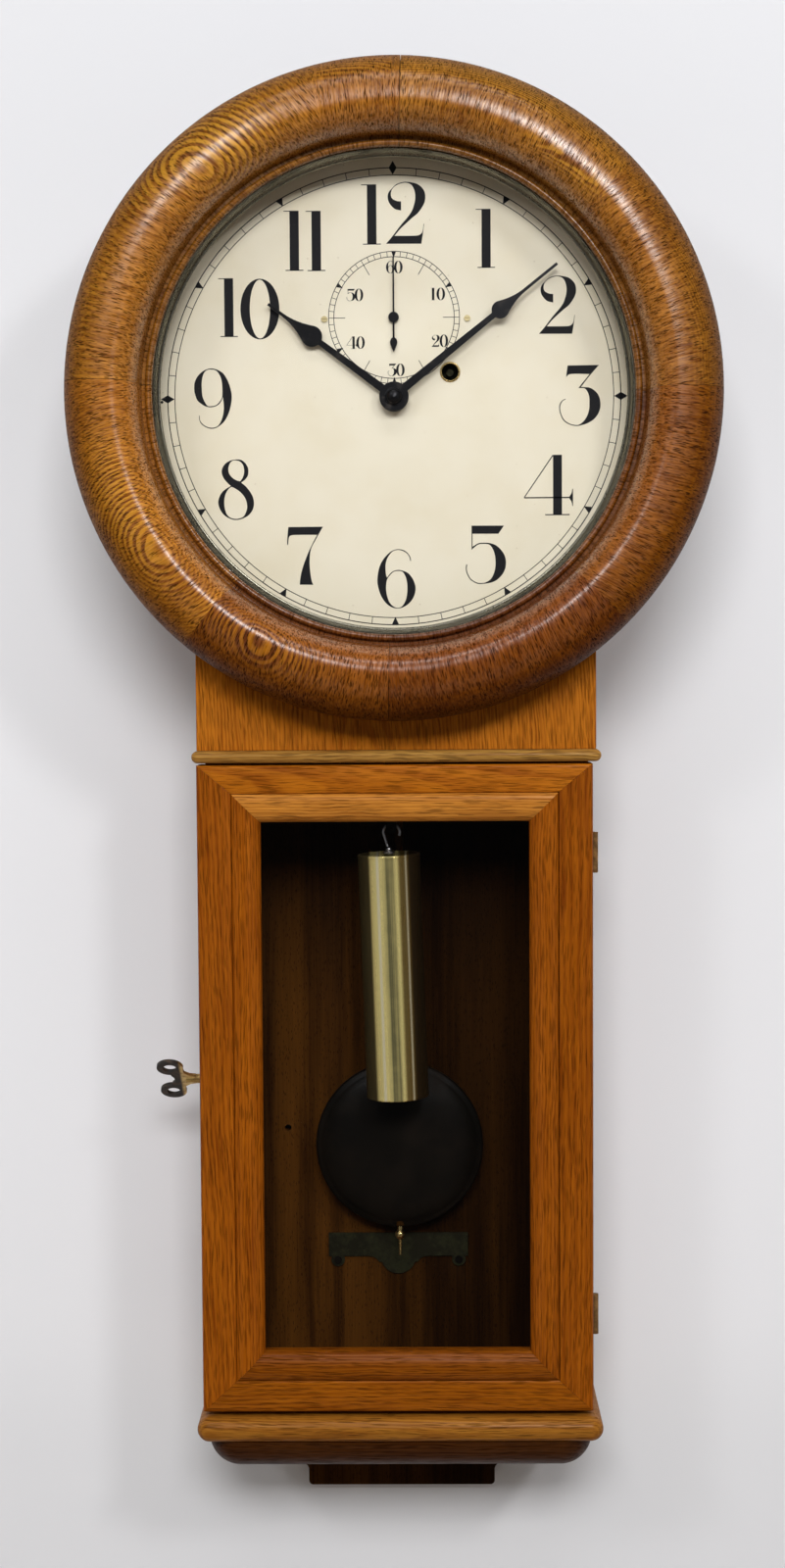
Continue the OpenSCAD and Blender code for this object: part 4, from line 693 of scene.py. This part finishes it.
# Outlines in millimetres about each digit's middle, up to 38 high; a third value of 1 marks a sharp corner
DIGITS = {
    2: [[(-11.7, -18.0, 1), (9.2, -18.1, 1), (10.2, -12.0), (10.9, -6.5, 1), (10.6, -6.5, 1), (10.1, -10.3),
         (9.3, -12.0), (8.0, -13.0), (5.9, -13.4), (-6.7, -13.4, 1), (-3.3, -9.4), (0.6, -5.8), (4.0, -2.8),
         (7.0, -0.4), (9.6, 3.0), (11.3, 6.3), (11.7, 9.3), (11.2, 12.4), (9.6, 14.8), (7.0, 16.8),
         (4.3, 17.6), (1.0, 18.1), (-2.1, 17.9), (-5.5, 16.7), (-7.7, 14.7), (-10.0, 12.0), (-10.6, 9.5),
         (-10.0, 6.5), (-8.3, 4.0), (-6.1, 2.2), (-2.7, 1.4, 1), (-2.7, 6.7, 1), (-5.2, 7.0), (-7.5, 8.1),
         (-8.5, 9.5), (-8.6, 11.9), (-7.7, 14.2), (-5.5, 16.1), (-2.1, 17.4), (1.0, 17.5), (3.5, 16.3),
         (5.1, 13.5), (5.7, 10.5), (5.6, 7.4), (4.8, 4.1), (3.5, 0.8), (1.2, -2.5), (-2.7, -6.9),
         (-7.5, -13.1)]],
    3: [[(-7.6, 18.8, 1), (12.1, 19.0, 1), (7.0, 13.2), (0.8, 5.4, 1), (2.5, 5.3), (6.5, 4.8), (9.9, 2.6),
         (12.1, -0.5), (13.0, -4.4), (12.9, -7.8), (11.5, -11.6), (8.7, -15.0), (4.2, -17.6), (0.3, -18.7),
         (-2.0, -19.0), (-5.9, -18.3), (-9.9, -15.9), (-12.1, -12.0), (-13.0, -7.6), (-12.4, -4.8),
         (-10.9, -2.9), (-9.0, -1.9, 1), (-8.8, -2.3, 1), (-10.5, -3.2), (-11.8, -5.1), (-12.4, -7.6),
         (-11.6, -11.7), (-9.4, -15.5), (-5.6, -17.8), (-2.3, -18.4), (-0.3, -18.1), (2.5, -16.0),
         (4.8, -12.4), (5.9, -8.5), (6.1, -4.9), (5.9, -0.5), (4.5, 3.1), (2.8, 4.7, 1), (-0.8, 4.7, 1),
         (6.2, 13.4, 1), (-6.2, 13.4), (-8.6, 11.6, 1)]],
    5: [[(-9.0, 18.4, 1), (11.5, 18.3, 1), (8.0, 13.2, 1), (-8.4, 13.3, 1), (-8.4, 5.1, 1), (-7.5, 5.7),
         (-4.6, 7.3), (-1.0, 7.6), (2.7, 7.3), (6.3, 6.0), (9.4, 3.3), (11.7, -0.1), (12.7, -4.3),
         (12.2, -8.8), (10.2, -12.7), (6.6, -16.1), (2.6, -17.7), (-3.1, -18.4), (-5.8, -18.1),
         (-9.5, -15.9), (-11.8, -12.5), (-12.7, -9.2), (-12.5, -6.1, 1), (-11.8, -6.1, 1), (-12.1, -9.2),
         (-11.2, -12.3), (-9.2, -15.4), (-5.6, -17.5), (-3.1, -17.8), (-0.2, -17.4), (2.9, -15.5),
         (4.9, -12.1), (5.9, -8.2), (6.1, -4.2), (5.6, 0.3), (4.1, 4.2), (2.1, 6.4), (-1.0, 6.9),
         (-4.4, 6.6), (-7.2, 4.8), (-9.0, 3.2, 1)]],
    6: [[(9.3, 11.2, 1), (8.9, 13.5), (7.2, 16.3), (4.5, 18.1), (1.0, 18.7), (-2.4, 17.8), (-5.7, 15.3),
         (-8.9, 11.4), (-10.9, 6.9), (-11.9, 1.9), (-12.1, -2.1), (-11.4, -6.0), (-9.9, -10.5),
         (-7.4, -14.5), (-4.3, -17.3), (-1.4, -18.5), (0.8, -18.7), (3.6, -18.2), (7.0, -16.3), (9.9, -13.2),
         (11.5, -9.9), (12.1, -6.2), (11.5, -2.8), (9.9, 0.6), (7.2, 3.7), (3.8, 5.2), (1.0, 5.6),
         (-1.8, 4.9), (-4.1, 3.2), (-6.0, 0.7, 1), (-6.6, 2.9), (-6.9, 6.9), (-6.5, 10.8), (-4.9, 14.4),
         (-2.1, 17.4), (1.0, 18.2), (4.1, 17.6), (6.9, 15.8), (8.3, 13.5), (8.8, 11.3, 1)],
        [(1.0, 5.0), (3.7, 4.5), (5.5, 2.0), (6.6, -1.7), (6.9, -5.6), (6.6, -10.1), (5.6, -14.0),
         (3.4, -17.4), (0.8, -18.3), (-1.7, -17.6), (-4.3, -15.1), (-5.9, -11.1), (-6.6, -6.7), (-6.4, -2.7),
         (-5.6, 0.2), (-3.8, 2.6), (-1.6, 4.5)]],
    7: [[(-10.6, 18.2, 1), (11.4, 18.3, 1), (9.1, 14.4), (6.6, 9.9), (4.4, 6.0), (3.3, 2.7), (2.8, -1.8),
         (2.8, -6.4), (3.3, -11.9), (3.9, -15.6), (4.9, -18.3, 1), (-3.6, -18.2, 1), (-3.4, -15.3),
         (-2.6, -10.8), (-1.1, -5.7), (0.6, -1.3), (2.5, 3.2), (4.3, 6.9), (6.3, 10.8), (7.7, 13.2, 1),
         (-6.4, 13.2), (-9.2, 12.8), (-10.2, 11.7), (-10.8, 7.0, 1), (-11.4, 7.0, 1), (-11.2, 11.7)]],
    8: [[(0.1, 19.0), (3.5, 18.7), (6.0, 16.8), (7.7, 13.9), (8.0, 11.4), (7.6, 8.9), (5.9, 6.4),
         (3.4, 4.5, 1), (6.1, 2.2), (9.2, -1.7), (10.9, -5.4), (11.3, -9.3), (10.4, -12.7), (7.9, -16.0),
         (3.7, -18.3), (-0.3, -19.0), (-3.6, -18.3), (-7.6, -15.9), (-10.3, -12.0), (-11.3, -8.0),
         (-10.6, -4.7), (-8.9, -1.6), (-6.3, 0.6), (-3.2, 2.4, 1), (-5.7, 4.8), (-7.9, 7.7), (-8.9, 11.0),
         (-8.4, 13.8), (-6.7, 16.3), (-3.8, 18.2)],
        [(0.1, 18.5), (2.9, 17.6), (4.6, 15.6), (5.3, 12.5), (5.1, 9.8), (4.2, 7.3), (2.8, 5.3, 1),
         (0.5, 5.9), (-2.2, 7.6), (-4.2, 10.2), (-4.7, 12.9), (-4.1, 15.7), (-2.4, 18.0)],
        [(-2.7, 1.9, 1), (-0.6, 0.9), (2.7, -1.4), (5.3, -4.5), (6.6, -7.6), (7.0, -11.0), (6.3, -13.8),
         (4.8, -16.6), (2.8, -17.8), (-0.3, -18.3), (-3.4, -17.6), (-5.6, -15.9), (-7.0, -12.6),
         (-7.5, -8.6), (-7.2, -4.7), (-6.0, -1.4), (-4.3, 0.9)]],
    9: [[(-0.6, 18.9), (3.1, 18.0), (6.5, 15.8), (8.9, 12.2), (10.8, 7.4), (11.8, 2.4), (11.7, -1.5),
         (10.7, -6.5), (9.0, -11.0), (6.7, -14.6), (2.7, -17.9), (-1.0, -18.9), (-4.6, -17.9), (-7.5, -15.9),
         (-8.8, -13.3), (-8.9, -10.6, 1), (-8.5, -10.6, 1), (-8.4, -13.3), (-7.0, -15.5), (-4.4, -17.4),
         (-1.0, -18.2), (2.4, -17.4), (4.7, -14.6), (6.2, -10.4), (6.8, -6.0), (6.6, -2.0), (6.2, 1.0, 1),
         (5.7, -0.6), (4.3, -2.9), (2.3, -4.5), (-1.1, -5.4), (-4.5, -4.9), (-7.3, -3.3), (-9.8, -1.1),
         (-11.4, 3.1), (-11.8, 7.0), (-11.4, 10.4), (-9.6, 14.0), (-6.5, 17.0), (-3.4, 18.5)],
        [(-0.6, 18.2), (2.0, 17.6), (3.9, 15.5), (5.3, 12.2), (5.9, 8.0), (6.0, 3.6), (5.6, 0.5),
         (4.1, -2.0), (2.0, -4.0), (-1.0, -4.7), (-3.4, -4.5), (-5.3, -1.9), (-6.6, 1.4), (-7.0, 5.9),
         (-7.0, 10.3), (-6.2, 14.5), (-4.8, 17.0), (-2.8, 18.1)]],
}


def digit(number):
    """Outline loops of a digit about its middle, drawn for the hours."""
    if number == 1:
        return [np.array([(-2.8, 18.6), (-2.8, 18.1), (-6.6, 18.1), (-6.6, 18.6)])[::-1],
                np.array([(-2.9, 18.6), (2.9, 18.6), (2.9, -18.6), (-2.9, -18.6)]),
                np.array([(-5.6, -18.1), (5.6, -18.1), (5.6, -18.7), (-5.6, -18.7)])]
    if number == 4:
        return [np.array([(3.6, 19.0), (9.2, 19.0), (9.2, -18.6), (3.6, -18.6)]),
                np.array([(-1.4, -18.2), (14.0, -18.2), (14.0, -18.9), (-1.4, -18.9)]),
                np.array([(3.2, 18.9), (4.0, 18.9), (-14.2, -7.6), (-14.9, -7.6)]),
                np.array([(-14.6, -7.4), (14.0, -7.4), (14.0, -8.2), (-14.6, -8.2)]),
                smooth_loop([(15.8, -2.4, 1), (15.2, -5.2), (13.8, -7.8), (15.2, -10.4), (15.8, -13.2, 1),
                             (16.2, -13.2, 1), (16.2, -2.4, 1)])]
    if number == 0:
        return [arc(0, 0, 12.3, 18.9, 0, 360, 48)[:-1], arc(0, 0, 6.4, 18.3, 0, 360, 48)[:-1]]
    return [smooth_loop(loop) for loop in DIGITS[number]]


def numeral_shells(number, at, scale, d0, d1):
    """A digit as thin slabs; the 1 and the 4 are several strokes, the others one outline with its holes."""
    loops = [loop * scale + np.array(at) for loop in digit(number)]
    if number in (1, 4):
        return [slab([loop], d0, d1) for loop in loops]
    return [slab(loops, d0, d1)]


def build_print(ink):
    """Hour numerals, the minute track and the seconds track with its numerals, all just proud of the dial."""
    low, high = DIAL_FACE - 0.02, DIAL_FACE + 0.05

    def circle(r, width, at=(0.0, 0.0), steps=240):
        """A thin printed circle."""
        r0, r1 = r - width / 2, r + width / 2
        return turned(np.array([[r0, low], [r0, high], [r1, high], [r1, low]]), steps, at)

    # digit, middle, size
    hours = [(1, (-13.3, 114.1), 1.0), (2, (8.0, 114.9), 1.06), (1, (58.4, 98.7), 0.98),
             (2, (103.1, 57.1), 1.0), (3, (117.0, 0.4), 1.0), (4, (96.5, -55.6), 1.0),
             (5, (57.5, -99.1), 1.0), (6, (0.8, -113.9), 1.0), (7, (-56.9, -99.0), 1.0),
             (8, (-100.4, -57.1), 1.0), (9, (-114.3, 0.2), 1.0), (1, (-103.7, 57.0), 0.98),
             (0, (-84.1, 55.9), 1.0), (1, (-62.1, 98.2), 1.0), (1, (-48.3, 98.0), 1.0)]
    shells = [s for number, at, scale in hours for s in numeral_shells(number, at, scale, low, high)]
    make("hour_numerals", shells, ink, "case", "black_steel")

    outer, inner = 142.9, 138.4
    minutes = [a for a in range(0, 360, 6) if a % 30]
    wedges = [a for a in range(30, 360, 30) if a not in (90, 270)]
    diamonds = rays([0, 90, 270], (147.2, outer, 138.6, outer), (0, 2.5, 0, -2.5))
    dot = np.array([[0.0, low], [0.9, low], [0.9, high], [0.0, high]])
    track = [circle(outer, 0.6), circle(inner, 0.5),
             boxes(spokes(minutes, inner, outer, 0.42, 0.42), low, high),
             boxes(spokes(wedges, outer, inner - 0.2, 4.6, 0.3), low, high),
             boxes(diamonds, low, high), turned(dot, 16, (-146.6, -1.8), False)]
    make("minute_track", track, ink, "case", "black_steel")

    outer, inner = 41.2, 37.9
    ring = [circle(r, 0.45, SECONDS_AT, 144) for r in (outer, inner)]
    seconds = [a for a in range(0, 360, 6) if a % 60]
    ring += [boxes(spokes(seconds, inner, outer, 0.36, 0.36, SECONDS_AT), low, high),
             boxes(spokes(range(0, 360, 60), outer, 37.2, 3.0, 0.2, SECONDS_AT), low, high),
             boxes(spokes(range(30, 360, 60), inner, 30.8, 0.42, 0.42, SECONDS_AT), low, high)]
    tens = [(6, (-1.9, 81.3)), (0, (3.2, 81.3)), (1, (25.0, 64.4)), (0, (29.8, 64.4)), (2, (26.4, 35.2)),
            (0, (31.6, 35.2)), (3, (-1.1, 17.3)), (0, (4.1, 17.3)), (4, (-26.6, 34.5)), (0, (-20.9, 34.5)),
            (5, (-26.8, 64.2)), (0, (-21.7, 64.2))]
    # each seconds numeral is drawn twice, a little apart, which gives its thin strokes more weight
    for k, shift in enumerate((-0.16, 0.16)):
        ring += [s for number, at in tens
                 for s in numeral_shells(number, (at[0] + shift, at[1]), 0.205, low, high + 0.01 * k)]
    make("seconds_track", ring, ink, "case", "black_steel")


# ---- Trunk ----

def build_moulding(oak):
    """Door moulding: its section carried along each side of the glazing, mitred at both ends."""
    crest = MOULD_W / 3
    rabbet = 4.5
    inner = MOULD_W - rabbet
    section = np.concatenate((
        [[0, MOULD_BACK], [inner, MOULD_BACK], [inner, MOULD_LOW - 1.2], [MOULD_W, MOULD_LOW - 1.2]],
        arc(crest, MOULD_LOW, MOULD_W - crest, DOOR_FACE + 1 - MOULD_LOW, 0, 90, 18),
        arc(crest, DOOR_FACE - 1.6, crest, 2.6, 100, 180, 8)))
    stop = np.array([[inner, MOULD_BACK], [MOULD_W - 0.6, MOULD_BACK + 1.5],
                     [MOULD_W - 0.6, DOOR_GLASS - 0.1], [inner, DOOR_GLASS - 0.1]])
    x0, x1, z0, z1 = SIGHT
    corners = np.array([(x0, z1), (x1, z1), (x1, z0), (x0, z0)])
    names = ("top", "right", "bottom", "left")
    # the top moulding's pale, blue-heavy colour is a painted highlight
    tints = ((1.75, 2.2, 9.0), (0.97, 0.82, 0.80), (0.68, 0.58, 0.40), (1.0, 0.84, 0.7))
    piths = ((-0.02, 0.05, 1.3), (0.03, 0.08, 2.2), (0.02, 0.06, 3.9), (-0.01, 0.09, 5.1))
    for k in range(4):
        first, last = corners[k], corners[(k + 1) % 4]
        way = (last - first) / np.linalg.norm(last - first)
        inward = np.array([way[1], -way[0]])
        shells = []
        for shape in (section, stop):
            u, d = shape[:, 0, None], shape[:, 1]
            rows = [end + inward * u + sign * way * (u + 0.06) for end, sign in ((first, 1), (last, -1))]
            shells.append(capped(np.stack([np.column_stack((row[:, 0], -d, row[:, 1])) for row in rows])))
        along = 0 if k % 2 == 0 else 2
        make(f"moulding_{names[k]}", shells, oak, "trunk_door", "oak", ("door_moulding",),
             grain=board(along, piths[k], (0.0, 0.03)), tint=tints[k])


def build_wood(oak, stained):
    """The boards of the case and the door, and the pendulum's rod, each with its own wood."""
    # heights and places across at which the backboard's painted shade changes; the backboard is cut there
    inside_x, painted_shade_z, painted_shade_x = 0.118, (-0.60, -0.40, -0.33, -0.28), (-0.05, 0.02, 0.10)

    def inner_side(spots):
        """The trunk's sides are stained dark inside."""
        return np.where(np.abs(spots[:, :1]) < inside_x, (0.10, 0.10, 0.12), (0.8, 0.7, 0.6))

    def backboard_painted_shade(spots):
        """Painted shade on the backboard: darkest at the top under the movement, and darker to the right."""
        # painted shade: darker up the backboard, then darker towards the right
        dark = np.interp(spots[:, 2], painted_shade_z, [1.0, 0.95, 0.45, 0.25])
        dark = dark * np.interp(spots[:, 0], painted_shade_x, [1.2, 0.50, 0.42])
        return dark[:, None] * np.array([1.0, 0.9, 0.8])

    # finish, axis along the grain, the stem's middle, its lean, colour
    panes = {
        "front_panel": (oak, 2, (0.03, 0.16, 0.2), (0.05, 0.05), (1.56, 1.60, 2.9)),
        # the upper bead's very pale, blue-heavy colour is a painted highlight
        "upper_bead": (oak, 0, (0.05, 0.19, 0.9), (0.0, 0.02), (1.3, 2.15, 13.0)),
        "door_left_stile": (oak, 2, (0.16, 0.15, 1.6), (0.03, 0.02), (1.0, 0.85, 0.8)),
        "door_right_stile": (oak, 2, (-0.10, 0.16, 2.6), (-0.03, 0.02), (0.92, 0.76, 0.65)),
        "door_top_rail": (oak, 0, (0.25, 0.18, 3.1), (0.02, 0.03), (1.38, 1.33, 1.8)),
        "door_bottom_rail": (oak, 0, (0.70, 0.16, 4.4), (0.02, -0.03), (0.92, 0.83, 0.6)),
        # the bottom shelf's pale, blue-heavy colour is a painted highlight
        "bottom_shelf": (oak, 0, (0.68, 0.20, 5.2), (0.02, 0.02), (1.0, 1.25, 4.0)),
        "base_moulding": (oak, 0, (0.72, 0.12, 6.1), (0.0, 0.02), (0.17, 0.150, 0.12)),
        "left_side": (oak, 2, (0.05, 0.20, 7.4), (0.02, 0.02), inner_side),
        "right_side": (oak, 2, (0.05, 0.26, 8.2), (0.02, 0.02), inner_side),
        "top_board": (oak, 0, (0.05, 0.20, 8.8), (0.02, 0.02), (0.4, 0.35, 0.3)),
        "dial_board": (stained, 2, (0.0, 0.0, 0.5), (0.0, 0.0), (0.6, 0.6, 0.6)),
        "backboard": (stained, 2, (0.0, 0.0, 1.5), (0.0, 0.0), backboard_painted_shade),
        "movement_seat": (stained, 0, (0.0, 0.0, 2.5), (0.0, 0.0), (0.4, 0.4, 0.4)),
        "pendulum_rod": (stained, 2, (0.0, 0.0, 3.5), (0.0, 0.0), (0.6, 0.6, 0.5))}
    for node, (finish, along, pith, tilt, tint) in panes.items():
        face = 0 if node in ("left_side", "right_side") else 1
        cuts = [(2, z) for z in painted_shade_z] + [(0, x) for x in painted_shade_x] if node == "backboard" else ()
        dressed(node, finish, "oak_back" if finish is stained else "oak", bevel=0.5, levels=cuts,
                grain=board(along, pith, tilt, face), tint=tint)


# ---- Pendulum and weight ----

def build_weight(brass):
    """Brass-cased weight: a straight cylinder with rolled rims and shallow dents. It hangs a little off plumb
    about its hook, which it doesn't meet in its middle."""
    r, length, lean = 20.5, 160.0, math.radians(1.8)
    hook_x, off_x = -3.8, -2.2
    # angle in radians, height, reach, depth
    dents = ((3.5, 128, 5, 0.45), (2.6, 70, 7, 0.5), (3.1, 24, 6, 0.4), (2.3, 40, 4, 0.35))
    side = np.concatenate(([[0, 0.6], [r - 3, 0.6]], arc(r - 1.2, 1.2, 1.2, 1.2, 270, 360, 5),
                           [[r - 0.25, 3.0]],
                           np.column_stack((np.full(60, r - 0.25), np.linspace(3.5, length - 4.5, 60))),
                           [[r - 0.25, length - 3.4]], arc(r - 1.1, length - 1.1, 1.1, 1.1, -20, 150, 8),
                           [[r - 3, length - 1.6], [0, length - 1.2]]))
    a = np.linspace(0, 2 * np.pi, 160, endpoint=False)[:, None]
    radius, height = side[None, :, 0] + 0 * a, side[None, :, 1] + 0 * a
    for angle, level, wide, deep in dents:
        off = ((a - angle + np.pi) % (2 * np.pi) - np.pi) * r
        radius = radius - deep * np.exp(-(off ** 2 + (height - level) ** 2) / wide ** 2) * (radius > r - 1)
    x, y, z = radius * np.sin(a) + off_x, -radius * np.cos(a), height - (PIVOT_Z - WEIGHT_TOP) - length
    cos, sin = math.cos(lean), math.sin(lean)
    turn = np.stack((x * cos - z * sin + hook_x, y - WEIGHT_D, x * sin + z * cos + PIVOT_Z), -1)

    def round_it(spots):
        """Place across the case, from -1 at its left side to 1 at its right, and height, for the streaks and
        for the painted light and reflections.
        """
        hung = (spots[:, 2] * 1000 - PIVOT_Z) * sin + (spots[:, 0] * 1000 - hook_x) * cos - off_x
        return np.column_stack((hung / r, 0 * hung, spots[:, 2]))

    make("weight_case", [skin(turn, True, False)], brass, "hanging_weight", "brass", ("weight",), angle=50,
         grain=round_it)


def build_bob(iron):
    """Cast bob: a lens with a narrow rounded rim. The rod runs on inside it."""
    half, r = 11.0, 56.0
    face = arc(8, 0, r - 10, half, 90, 15, 22)
    rim = arc(r - 2.8, 0, 2.8, 2.8, 60, -60, 10)
    section = np.concatenate(([[0, half]], face, rim, (face * [1, -1])[::-1], [[0, -half]]))
    a = np.linspace(0, 2 * np.pi, 160, endpoint=False)[:, None]
    radius, depth = section[None, :, 0], section[None, :, 1] + 0 * a
    grid = np.stack((radius * np.sin(a), -BOB_D - depth, BOB_Z + radius * np.cos(a)), -1)
    make("bob_disc", [skin(grid, True, False)], iron, "pendulum", "iron", ("bob",), angle=40)


# ---- Room ----

def backdrop(name, corners, paint):
    """One flat face of the room."""
    mesh = bpy.data.meshes.new(name)
    mesh.from_pydata(corners, [], [(0, 1, 2, 3)])
    mesh.materials.append(paint)
    return put(name, mesh)


# ---- The scene ----

place_camera()
place_lamp("left_lamp", (-1.7, -2.2, 1.2), (0, 0, -0.15), (0.45, 0.45), 10, mirrored=False)
place_lamp("right_lamp", (1.4, -2.2, 1.2), (0, 0, -0.15), (0.35, 0.35), 16, mirrored=False)
place_lamp("left_glint", (-0.85, -2.2, 1.2), (0, 0, 0), (0.4, 0.4), 13, lights=False)
place_lamp("right_glint", (0.52, -2.2, 0.92), (0, 0, 0), (0.4, 0.4), 20, lights=False)
place_lamp("ceiling_lamp", (0, -1.5, 2.6), (0, 0, -0.4), (2.2, 0.3), 20)
place_lamp("fill_lamp", (0, -3.2, 1.35), (0, 0, -0.5), (1.6, 0.8), 72, mirrored=False)
light_room()

OAK = varnished_oak("varnished_oak", (0.44, 0.180, 0.018), (0.15, 0.044, 0.004), (0.60, 0.32, 0.036),
                    spacing=0.0020, dash=150, contrast=1.0)
TRUNK_OAK = varnished_oak("trunk_oak", (0.38, 0.118, 0.004), (0.17, 0.040, 0.001), (0.42, 0.15, 0.006),
                          spacing=0.0020, dash=60, contrast=0.6, coat=0.3)
STAINED = stained_wood((0.080, 0.032, 0.005), (0.022, 0.008, 0.0015))
CREAM = dial_enamel()
INK = print_black()
NICKEL = metal("worn_nickel", (0.17, 0.16, 0.125), (0.11, 0.10, 0.072), 0.25, 0.28, size=30, scratch=0.1)
BRASS = metal("clock_brass", (0.66, 0.49, 0.20), (0.38, 0.25, 0.08), 0.2, 0.26, size=70)
DULL = metal("tarnished_brass", (0.050, 0.050, 0.024), (0.018, 0.016, 0.008), 0.5, 0.42, 0.8, 90, specks=0.5,
             gloss=0.2)
CASED = weight_brass()
PALE = metal("screw_brass", (0.62, 0.52, 0.28), (0.34, 0.25, 0.10), 0.2, 0.35, 0.5, 200)
HINGE = metal("dark_hinge", (0.30, 0.165, 0.060), (0.14, 0.075, 0.028), 0.5, 0.5, 0.3, 150, gloss=0.1)
STEEL = metal("polished_steel", (0.52, 0.52, 0.53), (0.22, 0.17, 0.12), 0.15, 0.3)
BLACK = metal("black_steel", (0.012, 0.012, 0.014), (0.030, 0.024, 0.020), 0.2, 0.30, 0.7, size=120)
IRON = metal("cast_iron", (0.0040, 0.0031, 0.0022), (0.0065, 0.0042, 0.0025), 0.4, 0.38, 0.0, 25, 0.1,
             gloss=0.12)
KEY = key_metal()
GLASS = clear_glass()
CABLE = twisted_cable()

build_ring(OAK)
build_sash(NICKEL)
build_moulding(TRUNK_OAK)
build_wood(TRUNK_OAK, STAINED)
build_weight(CASED)
build_bob(IRON)
build_print(INK)

# The other CAD nodes: those that are smoothed get soft edges too, the rest keep their mesh
FINISHES = (
    (CREAM, "dial"),
    (KEY, "latch_key"),
    (CABLE, "cable_falls"),
    (PALE, "dial_screws"),
    (GLASS, "door_glass head_glass"),
    (IRON, "back_screws pulley_bail"),
    (HINGE, "door_hinge_fixed door_hinge_moving head_hinge_fixed head_hinge_moving"),
    (BLACK, "minute_hand hour_hand seconds_hand hand_nut"),
    (STEEL, "hanger_plate cable_anchor cannon_pinion pallets suspension_spring weight_hook"),
    (DULL, "beat_scale door_keeper latch_hook front_plate drum crutch"),
    (BRASS, "winding_grommet back_plate pillars suspension_cock centre_wheel third_wheel escape_wheel "
            "great_wheel minute_wheel hour_wheel rating_nut pulley_sheave"))
SMOOTHED = (
    "minute_hand hour_hand seconds_hand hand_nut weight_hook rating_nut latch_key pulley_sheave "
    "pulley_bail winding_grommet dial_screws beat_scale door_hinge_fixed door_hinge_moving "
    "head_hinge_fixed head_hinge_moving").split()
SLOTS = {part["node"]: part["material_slot"] for part in frame["record"]["subparts"]}
for finish, nodes in FINISHES:
    for node in nodes.split():
        if node in SMOOTHED:
            dressed(node, finish, SLOTS[node], bevel=0.12)
        else:
            NODES[node].data.materials.clear()
            NODES[node].data.materials.append(finish)

wall = backdrop("wall", [(-5, WALL_Y, FLOOR_Z), (5, WALL_Y, FLOOR_Z), (5, WALL_Y, 4), (-5, WALL_Y, 4)],
                room_paint("wall_paint", (0.89, 0.895, 0.925), True))
floor = backdrop("floor", [(-8, -3.0, FLOOR_Z), (8, -3.0, FLOOR_Z), (8, 8, FLOOR_Z), (-8, 8, FLOOR_Z)],
                 room_paint("floor_paint", (0.46, 0.38, 0.30)))
bpy.context.scene.view_settings.view_transform = "Standard"
